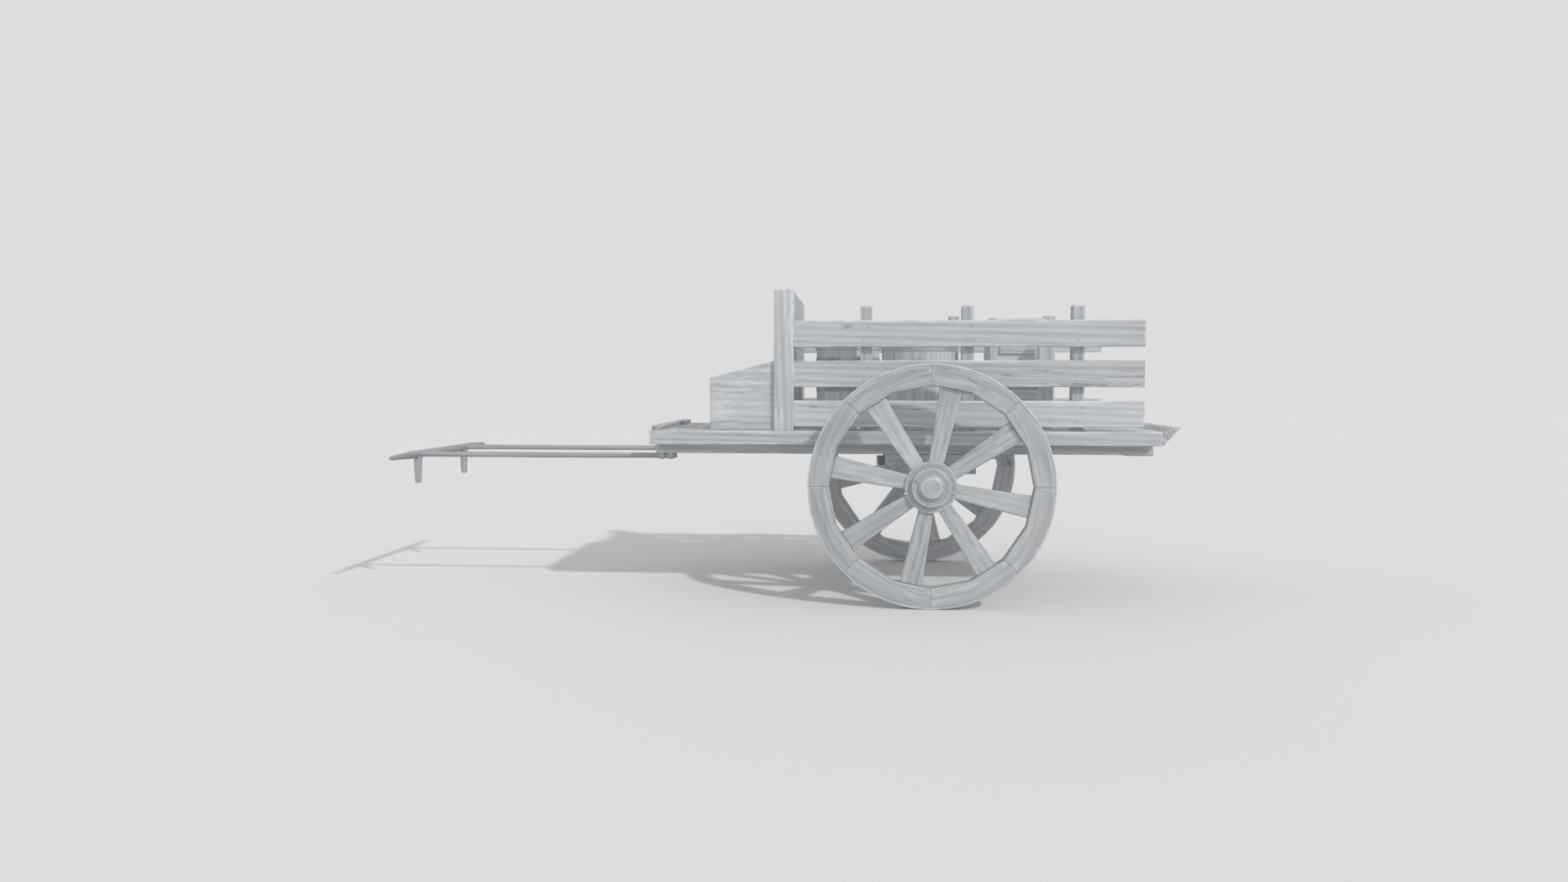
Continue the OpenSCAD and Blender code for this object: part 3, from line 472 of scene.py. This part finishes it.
plank_t = 0.045
plank_gap = 0.002
plank_count = 5
below_top = 0.006
plank_h = (head_h - below_top - plank_gap * plank_count) / plank_count
plank_feet = [deck_z + i * (plank_h + plank_gap) for i in range(plank_count)]
head_boards = [
    box_stick((head_back - plank_t, -beam_out, foot), (head_back, beam_out, foot + plank_h), "y",
              ease=0.003, bow=0.0006)
    for foot in plank_feet
]
piece("headboard_planks", head_boards, "cart", ["headboard_boards"], bed_timber)

batten_low, batten_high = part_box("headboard_battens")
batten_w = 0.060
battens = [
    box_stick((batten_low[0], y, batten_low[2]), (batten_high[0], y + batten_w, batten_high[2]), "z",
              ease=0.003)
    for y in (0.190, -0.190 - batten_w)
]
piece("headboard_batten_timbers", battens, "cart", ["headboard_battens"], bed_timber)

# ---- Seat box ----
# A box in front of the headboard is the driver's seat. Its sides slope down to the front, and its lid,
# two boards on two battens, turns up on strap hinges screwed to a rail behind it.

seat_depth = 0.339
seat_h = 0.274
seat_half = 0.480
seat_inner = 0.450
seat_front_t = 0.028
rest_gap = 0.0003
slope = math.radians(14.4)
seat_front = head_front - seat_depth
seat_top = deck_z + seat_h
seat_rear_z = seat_top + seat_depth * math.tan(slope)
side_outline = [(seat_front, deck_z), (head_front, deck_z), (head_front, seat_rear_z),
                (seat_front, seat_top)]
seat_sides = [
    stick(side_outline, *sorted((side * seat_inner, side * seat_half)), "y", ease=0.004, grain="x")
    for side in (-1, 1)
]
piece("seat_side_boards", seat_sides, "cart", ["seat_sides"], bed_timber)

knuckle = 0.007
strap_t = 0.003
lid_t = 0.022
lid_drop = knuckle - strap_t
hinge_x = head_front - knuckle - 0.0005
hinge_z = seat_top + (hinge_x - seat_front) * math.tan(slope) + lid_drop / math.cos(slope) - strap_t


def under_lid(x):
    """Height of the lid's underside at x."""
    return hinge_z - (hinge_x - x) * math.tan(slope) - (lid_drop + lid_t) / math.cos(slope) - rest_gap


inside_front = seat_front + seat_front_t
front_board = stick([(seat_front, deck_z), (inside_front, deck_z), (inside_front, under_lid(inside_front)),
                     (seat_front, under_lid(seat_front))], -seat_inner, seat_inner, "y", ease=0.003)
piece("seat_front_board", [front_board], "cart", ["seat_front"], bed_timber)
cleat = 0.025
cleat_back = head_front - 0.020
front_z, back_z = under_lid(inside_front), under_lid(cleat_back)
cleat_outline = [(inside_front, front_z - cleat), (cleat_back, back_z - cleat), (cleat_back, back_z),
                 (inside_front, front_z)]
cleats = [
    stick(cleat_outline, *sorted((side * (seat_inner - cleat), side * seat_inner)), "y", ease=0.002,
          grain="x")
    for side in (-1, 1)
]
piece("seat_cleat_strips", cleats, "cart", ["seat_cleats"], bed_timber)
rail_low_corner, rail_high_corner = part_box("seat_back_rail")
piece("seat_rail_timber", [box_stick(rail_low_corner, rail_high_corner, "y", ease=0.003)], "cart",
      ["seat_back_rail"], bed_timber)


def in_lid(corners):
    """Points of the lid's own slanted frame, from the hinge line forwards and up, turned by the slope."""
    corners = np.asarray(corners, dtype=float)
    return np.stack([hinge_x + corners[:, 0] * math.cos(slope) - corners[:, 1] * math.sin(slope),
                     hinge_z + corners[:, 0] * math.sin(slope) + corners[:, 1] * math.cos(slope)], axis=1)


def lid_section(x0, x1, z0, z1):
    """A four-cornered section in the lid's frame."""
    return in_lid([(x0, z0), (x1, z0), (x1, z1), (x0, z1)])


lid_front = -(hinge_x - seat_front) / math.cos(slope)
lid_rear = -knuckle - 0.002
lid_middle = (lid_rear + lid_front) / 2
lid_half = seat_inner - 0.003
lid_gap = 0.002
lid_under = -lid_drop - lid_t
lid = [
    stick(lid_section(x0, x1, lid_under, -lid_drop), -lid_half, lid_half, "y", ease=0.003)
    for x0, x1 in ((lid_front, lid_middle - lid_gap / 2), (lid_middle + lid_gap / 2, lid_rear))
]
lid_batten_t = 0.020
lid_batten_half = 0.030
lid_batten_section = lid_section(lid_front + seat_front_t + 0.012, lid_rear - 0.020,
                                 lid_under - lid_batten_t, lid_under - rest_gap)
for y in (-0.280, 0.280):
    lid.append(stick(lid_batten_section, y - lid_batten_half, y + lid_batten_half, "y", ease=0.003,
                     grain="x"))
piece("seat_lid_boards", lid, "seat_lid", ["seat_lid"], bed_timber)

# ---- Axle bed and saddles ----
# The iron axle lies in a slot under a timber bed. A wide plank crosses that bed, and a block on the plank
# lifts each beam clear of the wheels. Long bolts and plates clamp the stack together.

bed_low, bed_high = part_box("axle_bed")
axle_half = 0.020
slot_top = axle_z + axle_half
bed_outline = [(bed_low[0], bed_low[2]), (axle_x - axle_half, bed_low[2]), (axle_x - axle_half, slot_top),
               (axle_x + axle_half, slot_top), (axle_x + axle_half, bed_low[2]), (bed_high[0], bed_low[2]),
               (bed_high[0], bed_high[2]), (bed_low[0], bed_high[2])]
axle_timber = stick(bed_outline, bed_low[1], bed_high[1], "y", ease=0.004)
piece("axle_bed_timber", [axle_timber], "cart", ["axle_bed"], bed_timber)

saddle_low, saddle_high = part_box("saddles")
plank_share = 0.45
plank_top = bed_high[2] + (beam_z - bed_high[2]) * plank_share
block_x = axle_x + 0.018
block_half = 0.236
saddles = [box_stick(saddle_low, (saddle_high[0], saddle_high[1], plank_top), "y", ease=0.004, bow=0.0006)]
for side in (-1, 1):
    saddles.append(side_stick(side, (block_x - block_half, block_x + block_half), (beam_in, beam_out),
                              (plank_top + rest_gap, beam_z), "x", ease=0.004))
piece("saddle_timbers", saddles, "cart", ["saddles"], bed_timber)

# ---- Wheels ----
# Eight ash felloes with straight-cut inner edges make the rim, and eight flat spokes that widen outwards
# stand between them and the elm nave. An iron tyre is shrunk on, and iron bands hold the nave.


def about_axle(section, along, centre, around=96, crisp=0.0015, flank=0.006, open_ends=False):
    """A turned shape. A section, given as distances along an axis and from it, swings a full turn about
    that axis. An open section is shut by a flat face at each end."""
    section = np.asarray(section, dtype=float)
    if open_ends:
        closed = np.concatenate([section, [[section[-1][0], 0.0], [section[0][0], 0.0]]])
        sharp = sharp_corners(closed)
        sharp[[0, len(section) - 1, -2, -1]] = False
        line, worn = eased(closed, sharp, crisp, flank)
        line, worn = line[:-2], worn[:-2]
    else:
        line, worn = eased(section, sharp_corners(section), crisp, flank)
    turn = np.linspace(0, 2 * math.pi, around, endpoint=False)
    axis, a, b = AXES[along]
    points = np.zeros((len(line), around, 3))
    points[..., axis] = line[:, None, 0]
    points[..., a] = centre[0] + line[:, None, 1] * np.cos(turn)
    points[..., b] = centre[1] + line[:, None, 1] * np.sin(turn)
    points = points.reshape(-1, 3)
    quads = ring_quads(len(line), around, closed=not open_ends)
    caps = []
    if open_ends:
        caps = [list(range(around))[::-1], list(range((len(line) - 1) * around, len(line) * around))]
    quads, caps = outward(points, quads, caps)
    return finished(points, quads, caps, points[:, AXES[along]], np.repeat(worn, around))


def old_iron(name, dark, light, sheen):
    """Wrought iron, greyed by weather. Two sizes of noise pit and cloud it, worn arrises are paler, and
    rounded cells make the hammer's dents."""
    made = bpy.data.materials.new(name)
    made.use_nodes = True
    tree = made.node_tree
    shader = tree.nodes["Principled BSDF"]
    add = joined_nodes(tree)
    place = add("TexCoord").outputs["Object"]
    worn = add("Attribute", {"attribute_name": "worn"}).outputs["Fac"]
    cloud = add("TexNoise", Vector=place, Scale=14.0, Detail=6.0, Roughness=0.65).outputs["Fac"]
    pits = add("TexNoise", Vector=place, Scale=190.0, Detail=4.0, Roughness=0.7).outputs["Fac"]
    dents = add("TexVoronoi", {"feature": "SMOOTH_F1"}, Vector=place, Scale=38.0).outputs["Distance"]
    level = add("Math", {"operation": "MULTIPLY_ADD"}, _0=pits, _1=0.45, _2=0.0).outputs[0]
    level = add("Math", {"operation": "MULTIPLY_ADD"}, _0=cloud, _1=0.75, _2=level).outputs[0]
    level = add("Math", {"operation": "MULTIPLY_ADD"}, _0=worn, _1=0.3, _2=level).outputs[0]
    colour = add("ValToRGB", Fac=level)
    stops = colour.color_ramp.elements
    stops[0].position, stops[0].color = 0.3, (*dark, 1)
    stops[1].position, stops[1].color = 0.95, (*light, 1)
    tree.links.new(colour.outputs[0], shader.inputs["Base Color"])
    tree.links.new(ramp_between(add, cloud, 0.3, 0.7, 0.74, 0.46), shader.inputs["Roughness"])
    shader.inputs["Metallic"].default_value = sheen
    relief = add("Math", {"operation": "MULTIPLY_ADD"}, _0=dents, _1=0.9, _2=pits).outputs[0]
    bump = add("Bump", Height=relief, Strength=0.45, Distance=0.0012)
    tree.links.new(bump.outputs[0], shader.inputs["Normal"])
    return made


# Painted shade: this timber is darker than the bed's, so the wheels, which stand lower, read darker as if
# less light fell on them.
wheel_timber = grey_timber("wheel_timber", (0.210, 0.221, 0.232), (0.385, 0.399, 0.411),
                           (0.293, 0.286, 0.272), 0.8)
forged_iron = old_iron("forged_iron", (0.20, 0.21, 0.225), (0.385, 0.40, 0.42), 0.3)

wheel_r = 0.610
tyre_t = 0.012
felloe_w = 0.070
corner_r = 0.506
sides = 16
joint = 0.0003
wheel_mid = 0.756 - felloe_w / 2
felloe_r = wheel_r - tyre_t
felloe_half, tyre_half = felloe_w / 2, (felloe_w - 0.004) / 2
end_turn = math.pi / 8
end_x, end_y = corner_r * math.cos(end_turn), corner_r * math.sin(end_turn) - joint / 2
felloe_arc = np.linspace(-end_turn, end_turn, 15)
rim_chord = 0.457
rim_y = felloe_r * np.sin(felloe_arc) * (1 - joint / rim_chord)
felloe_shape = np.concatenate([
    [(end_x, end_y), (corner_r, 0.0), (end_x, -end_y)],
    np.stack([felloe_r * np.cos(felloe_arc), rim_y], axis=1),
])
nave_r = 0.122
spoke_t = 0.036
spoke_foot = nave_r - 0.004
spoke_head = corner_r * math.cos(math.pi / sides) - joint / 2
foot_half, head_half = 0.036, 0.056
spoke_shape = np.array([(spoke_foot, -foot_half), (spoke_head, -head_half), (spoke_head, head_half),
                        (spoke_foot, foot_half)])


def swung(outline, angle):
    """An outline in the wheel's plane, turned about the axle by an angle and set at its height."""
    c, s = math.cos(angle), math.sin(angle)
    x, z = outline[:, 0], outline[:, 1]
    return np.stack([axle_x + x * c + z * s, axle_z - x * s + z * c], 1)


def along_spoke(solid, angle, curved=False):
    """Turns a solid's grain to run outwards along its spoke, or round the rim."""
    x, z = solid["points"][:, 0] - axle_x, solid["points"][:, 2] - axle_z
    c, s = math.cos(angle), math.sin(angle)
    out, beside = x * c - z * s, x * s + z * c
    if curved:
        out, beside = felloe_r * np.arctan2(beside, out), np.hypot(out, beside)
    solid["grain"] = np.stack([out, beside, solid["points"][:, 1]], axis=1) + chance.uniform(-9, 9, 3)
    return solid


nose_r = 0.090
band_t = 0.006
band_w = 0.012
nave_inner = wheel_mid - 0.107
nave_step = wheel_mid + 0.032
nave_end = nave_step + 0.026
washer_seat = nave_end - 0.011
box_r = 0.03205
cap_hollow = 0.046
cap_r = 0.064
cap_lip = 0.007
cap_h = 0.022
cap_top_r = 0.049
centre = (axle_z, axle_x)
eighth = math.pi / 4


def ring_section(side, near, far, inner_r, outer_r):
    """A ring's four-cornered section, between two distances along its axis, to the left, -1, or the
    right, 1, and two distances out from the axis."""
    return [(side * near, inner_r), (side * far, inner_r), (side * far, outer_r), (side * near, outer_r)]


for name, side in LEFT_AND_RIGHT:
    body = name + "_wheel"
    tyre_section = ring_section(side, wheel_mid - tyre_half, wheel_mid + tyre_half, felloe_r, wheel_r)
    tyre = about_axle(tyre_section, "y", centre, around=192, crisp=0.003)
    piece(name + "_tyre_iron", [tyre], body, [name + "_tyre"], forged_iron)
    felloes, spokes = [], []
    for i in range(8):
        across = sorted((side * (wheel_mid - felloe_half), side * (wheel_mid + felloe_half)))
        angle = (i + 0.5) * eighth
        felloe = stick(swung(felloe_shape, angle), *across, "y", ease=0.0035, grain="x")
        felloes.append(along_spoke(felloe, angle, curved=True))
        across = sorted((side * (wheel_mid - spoke_t / 2), side * (wheel_mid + spoke_t / 2)))
        angle = -side * math.pi / sides - i * eighth
        spoke = stick(swung(spoke_shape, angle), *across, "y", ease=0.005, grain="x")
        spokes.append(along_spoke(spoke, angle))
    piece(name + "_felloe_timbers", felloes, body, [name + "_felloes"], wheel_timber)
    piece(name + "_spoke_timbers", spokes, body, [name + "_spokes"], wheel_timber)
    nave_section = [(nave_inner, box_r), (nave_inner, nave_r), (nave_step, nave_r), (nave_step, nose_r),
                    (nave_end, nose_r), (nave_end, cap_hollow), (washer_seat, cap_hollow),
                    (washer_seat, box_r)]
    nave = about_axle([(side * y, r) for y, r in nave_section], "y", centre)
    piece(name + "_nave_timber", [nave], body, [name + "_nave"], wheel_timber)
    band_places = ((nave_inner, nave_inner + 1.5 * band_w, nave_r), (nave_step - band_w, nave_step, nave_r),
                   (nave_step, nave_end, nose_r))
    bands = [
        about_axle(ring_section(side, y0, y1, r, r + band_t), "y", centre, crisp=0.002)
        for y0, y1, r in band_places
    ]
    piece(name + "_nave_irons", bands, body, [name + "_nave_bands"], forged_iron)
    cap_section = [(0.0, cap_hollow), (0.0, cap_r), (cap_lip, cap_r), (cap_h, cap_top_r), (cap_h, 0.010)]
    cap = about_axle([(side * (nave_end + y), r) for y, r in cap_section], "y", centre, crisp=0.002,
                     flank=0.004, open_ends=True)
    piece(name + "_cap_iron", [cap], body, [name + "_hub_cap"], forged_iron)

# ---- Small ironwork ----
# The axle, its boxes, washers and linchpins, the clamps, the lid's hinges, the shafts' clips and all nails
# and bolts are plain forgings, already as they should be. They take the same greyed iron.

for name in ("axle", "axle_fastenings", "axle_clamps", "left_axle_box", "right_axle_box", "tail_straps",
             "hinge_plates", "hinge_straps", "hinge_pins", "shaft_clips", "nails", "post_bolts"):
    nodes[name].data.materials.clear()
    nodes[name].data.materials.append(forged_iron)

# ---- Shafts and yoke ----
# Two peeled poles run forward under the beams, held by iron clips. Their front ends sit in a turned yoke,
# and a tapered peg hangs from the yoke below each of them.

pole_timber = grey_timber("pole_timber", (0.185, 0.194, 0.202), (0.338, 0.349, 0.359),
                          (0.243, 0.232, 0.217), 0.9, 1.2)
shaft_r = 0.015
shaft_out = 0.337
shaft_z = beam_z - shaft_r
shaft_back = bed_front + 0.106
yoke_x = axle_x - 2.780
yoke_r = 0.021
yoke_tip_r = 0.0115
yoke_half = 0.675
yoke_taper = 0.250


def whittled(solid, along, amount, waves):
    """Makes a turned pole a little crooked and lumpy: its middle line and its girth follow sine waves."""
    axis, a, b = AXES[along]
    at = solid["points"][:, axis]
    phase = chance.uniform(0, 2 * math.pi, 4)
    middle = [(solid["points"][:, i].max() + solid["points"][:, i].min()) / 2 for i in (a, b)]
    for i, k, f in ((a, 0, waves), (b, 1, waves * 1.31)):
        thick = 1 - amount * (0.5 + 0.5 * np.sin(at * waves * 5.3 + phase[2]))
        solid["points"][:, i] = middle[k] + (solid["points"][:, i] - middle[k]) * thick
        solid["points"][:, i] += 0.0006 * np.sin(at * f + phase[k])
    return solid


for name, side in LEFT_AND_RIGHT:
    at = np.linspace(yoke_x + yoke_r - 0.006, shaft_back - 0.008, 42)
    line = [(at[0], 0.004), *[(x, shaft_r * 0.97) for x in at], (shaft_back, 0.010), (shaft_back, 0.003)]
    shaft = about_axle(line, "x", (side * shaft_out, shaft_z), around=28, crisp=0.002, open_ends=True)
    piece(name + "_shaft_pole", [whittled(shaft, "x", 0.04, 3.1)], "cart", [name + "_shaft"],
          pole_timber)

tip_round = 0.003
at = np.linspace(-yoke_half + tip_round, yoke_half - tip_round, 45)
girth = np.interp(np.abs(at), [yoke_half - yoke_taper, yoke_half], [yoke_r, yoke_tip_r]) * 0.98
tip = [(yoke_half, yoke_tip_r - tip_round), (yoke_half, tip_round)]
line = [*[(-y, r) for y, r in tip[::-1]], *zip(at, girth), *tip]
yoke = about_axle(line, "y", (shaft_z, yoke_x), around=36, crisp=0.002, open_ends=True)
piece("yoke_bar", [whittled(yoke, "y", 0.03, 4.4)], "cart", ["yoke"], pole_timber)

peg_foot_z = shaft_z - 0.158
peg_top_z = shaft_z - yoke_r * 0.5
peg_foot_r = 0.0165
peg_top_r = 0.0232
peg_line = [(peg_foot_z, 0.004), (peg_foot_z, peg_foot_r - 0.002), (peg_foot_z + 0.003, peg_foot_r),
            (peg_top_z - 0.006, peg_top_r), (peg_top_z, peg_top_r - 0.001), (peg_top_z, 0.004)]
pegs = [
    about_axle(peg_line, "z", (yoke_x, side * shaft_out), around=36, crisp=0.002, open_ends=True)
    for side in (-1, 1)
]
piece("yoke_peg_turnings", pegs, "cart", ["yoke_pegs"], pole_timber)

# ---- Barrels ----
# Two straight-sided casks stand on the floor. Sixteen staves, three iron hoops and a bottom make each one,
# and a thick round lid of four boards, with a plug below it, covers it.

# Painted light: this timber is paler than the bed's, so the barrels and crates read brighter than the
# rails' shade around them allows.
cask_timber_painted_light = grey_timber("cask_timber_painted_light", (0.304, 0.317, 0.333), (0.566, 0.584, 0.603),
                          (0.423, 0.405, 0.377), 1.0)
stave_t = 0.018
stave_count = 16
stave_gap = 0.0052
bottom_low, bottom_high = deck_z + 0.024, deck_z + 0.044
hoop_h = 0.030
hoop_t = 0.0025
cask_lid_t = 0.034
lip = 0.006
plug = 0.014
plug_gap = 0.0015
seat = 0.0001


def stave(x, y, r, angle, h):
    """One stave: a sixteenth of a ring, of two arcs, carried up from the floor."""
    half = (2 * math.pi / stave_count - stave_gap) / 2
    turn = np.linspace(-half, half, 7) + angle
    arc = np.stack([np.cos(turn), np.sin(turn)], 1)
    ring = np.concatenate([r * arc, (r - stave_t) * arc[::-1]])
    return stick(ring + (x, y), deck_z, deck_z + h, "z", ease=0.0022)


def lid_board(x, y, r, low, high, z0, z1, ease):
    """One board of a round lid: the part of a disc that lies between two lines across it."""
    most = 0.9999
    turn = np.linspace(math.asin(max(-most, low / r)), math.asin(min(most, high / r)), 13)
    right = np.stack([r * np.cos(turn), r * np.sin(turn)], 1)
    outline = np.concatenate([right, right[::-1] * (-1, 1)]) + (x, y)
    return stick(outline, z0, z1, "z", ease=ease, grain="x")


def round_board(x, y, r, z0, z1):
    """A solid round board, lying flat."""
    section = [(z0, 0.01), (z0, r), (z1, r), (z1, 0.01)]
    return about_axle(section, "z", (x, y), around=64, open_ends=True)


for name, x, y, r, h in (("small_barrel", axle_x - 0.421, -0.150, 0.171, 0.424),
                         ("large_barrel", axle_x - 0.020, 0.060, 0.212, 0.500)):
    staves = [stave(x, y, r, (i + 0.5) * 2 * math.pi / stave_count, h) for i in range(stave_count)]
    inner_r = r - stave_t
    staves.append(round_board(x, y, inner_r - rest_gap, bottom_low, bottom_high))
    piece(name + "_staves", staves, name, [name + "_tub"], cask_timber_painted_light)
    hoops = [
        about_axle(ring_section(1, z, z + hoop_h, r, r + hoop_t), "z", (x, y), around=96, crisp=0.0008)
        for z in [deck_z + h * share for share in (0.06, 0.47, 0.84)]
    ]
    piece(name + "_hoop_irons", hoops, name, [name + "_hoops"], forged_iron)
    rim_z, lid_r, half_gap = deck_z + h, r + lip, 0.0004
    cuts = np.linspace(-lid_r, lid_r, 5)
    boards = [
        lid_board(x, y, lid_r, a + half_gap, b - half_gap, rim_z + seat, rim_z + cask_lid_t, 0.004)
        for a, b in zip(cuts[:-1], cuts[1:])
    ]
    boards.append(round_board(x, y, inner_r - plug_gap, rim_z - plug, rim_z + 0.001))
    piece(name + "_lid_boards", boards, name + "_cover", [name + "_lid"], cask_timber_painted_light)

# ---- Crates ----
# Two nailed boxes of thin board, one on the other. Each long face carries a frame of two stiles and two
# rails, with a slanted bead planted round the inside, and a raised field with sloping edges.

crate_x = axle_x + 0.490
crate_t = 0.014
frame_t = 0.012
gap = 0.0004
bead = 0.008
field_slope = 0.009
low_crate_h = 0.296
for name, y0, length, width, height, stile, foot, reveal, floor_at in (
        ("lower_crate", 0.0, 0.380, 0.400, low_crate_h, 0.074, 0.074, 0.012, deck_z),
        ("upper_crate", -0.040, 0.288, 0.320, 0.300, 0.028, 0.076, 0.024, deck_z + low_crate_h)):
    hx, hy = length / 2, width / 2 - frame_t

    def crate_board(low, high, along, **more):
        """A board of the crate, given from the middle of the crate's foot."""
        at = np.array([crate_x, y0, floor_at])
        return box_stick(at + low, at + high, along, **more)

    boards = [
        crate_board((-hx, -hy, 0), (hx, hy, crate_t), "x"),
        crate_board((-hx, -hy, height - crate_t), (hx, hy, height), "x"),
    ]
    for s in (-1, 1):
        xs = sorted((s * hx, s * (hx - crate_t)))
        ys = sorted((s * hy, s * (hy - crate_t)))
        low_z, high_z = crate_t + gap, height - crate_t - gap
        inside = hx - crate_t - gap
        boards.append(crate_board((xs[0], -hy, low_z), (xs[1], hy, high_z), "y"))
        boards.append(crate_board((-inside, ys[0], low_z), (inside, ys[1], high_z), "x"))

        near, far = sorted((s * (hy + gap), s * (hy + frame_t)))
        for t in (-1, 1):
            xs = sorted((t * hx, t * (hx - stile)))
            boards.append(crate_board((xs[0], near, 0), (xs[1], far, height), "z", ease=0.0015))
        inner = hx - stile - gap
        for low_z, high_z in ((0, foot), (height - stile, height)):
            boards.append(crate_board((-inner, near, low_z), (inner, far, high_z), "x", ease=0.0015))

        back, front = y0 + s * (hy + gap), y0 + s * (hy + frame_t - joint)
        low_x, high_x = crate_x - inner + gap, crate_x + inner - gap
        low_z, high_z = floor_at + foot + gap, floor_at + height - stile - gap
        for z, up in ((low_z, bead), (high_z, -bead)):
            lying = [(back, z), (front, z), (back, z + up)]
            boards.append(stick(lying, low_x, high_x, "x", ease=0.0008))
        for x, aside in ((low_x, bead), (high_x, -bead)):
            upright = [(x, back), (x, front), (x + aside, back)]
            boards.append(stick(upright, low_z + bead, high_z - bead, "z", ease=0.0008))

        low_x, high_x = crate_x - hx + stile + reveal, crate_x + hx - stile - reveal
        low_z, high_z = floor_at + foot + reveal, floor_at + height - stile - reveal
        field = [(back, low_z), (back, high_z), (front, high_z - field_slope),
                 (front, low_z + field_slope)]
        boards.append(stick(field, low_x, high_x, "x", ease=0.0015))
    piece(name + "_boards", boards, name, [name], cask_timber_painted_light)

# ---- Studio ----
# A pale floor in an even pale room. One lamp, up and to the right of the camera, casts the shadows, and
# four wide ones without shadows light the cart evenly from its four sides.

reach = 60.0
floor_corners = [(-reach, -reach, 0), (reach, -reach, 0), (reach, reach, 0), (-reach, reach, 0)]
floor_mesh = bpy.data.meshes.new("studio_floor")
floor_mesh.from_pydata(floor_corners, [], [(0, 1, 2, 3)])
floor_paint = bpy.data.materials.new("floor_paint")
floor_paint.use_nodes = True
paint = floor_paint.node_tree.nodes["Principled BSDF"].inputs
paint["Base Color"].default_value = (0.507, 0.507, 0.507, 1)
paint["Roughness"].default_value = 1.0
paint["Specular IOR Level"].default_value = 0.0
floor_mesh.materials.append(floor_paint)
studio_floor = bpy.data.objects.new("studio_floor", floor_mesh)
bpy.context.scene.collection.objects.link(studio_floor)

room = bpy.data.worlds.new("room")
room.use_nodes = True
room.node_tree.nodes["Background"].inputs["Color"].default_value = (0.723, 0.723, 0.723, 1)
room.node_tree.nodes["Background"].inputs["Strength"].default_value = 1.0
bpy.context.scene.world = room
bpy.context.scene.view_settings.view_transform = "Standard"

# Each lamp's name, the way towards it, its strength, its width in degrees, and whether it casts shadows.
for name, toward, strength, width, shades in (
        ("key_lamp", (1.0, -1.0, 1.1), 2.35, 2.5, True),
        ("front_lamp", (0.0, -1.0, 0.15), 1.25, 60.0, False),
        ("tail_lamp", (1.0, 0.0, 0.15), 0.6, 60.0, False),
        ("rear_lamp", (0.0, 1.0, 0.15), 1.2, 60.0, False),
        ("shaft_lamp", (-1.0, 0.0, 0.15), 0.8, 60.0, False)):
    lamp = bpy.data.lights.new(name, "SUN")
    lamp.energy = strength
    lamp.angle = math.radians(width)
    lamp.use_shadow = shades
    lamp_at = bpy.data.objects.new(name, lamp)
    lamp_at.rotation_euler = (math.acos(toward[2] / math.dist(toward, (0, 0, 0))), 0,
                              math.atan2(toward[1], toward[0]) + math.pi / 2)
    bpy.context.scene.collection.objects.link(lamp_at)

# The camera stands six metres out on the left, a little above the deck, and looks slightly down.
look_down, turned = math.radians(3.0752), math.radians(4.2574)
camera = bpy.data.objects.new("camera", bpy.data.cameras.new("camera"))
camera.data.sensor_width = 36.0
camera.data.lens = 24.404
camera.location = (0.4378, -6.0113, 1.1197)
camera.rotation_euler = (math.pi / 2 - look_down, 0, turned)
bpy.context.scene.collection.objects.link(camera)
bpy.context.scene.camera = camera
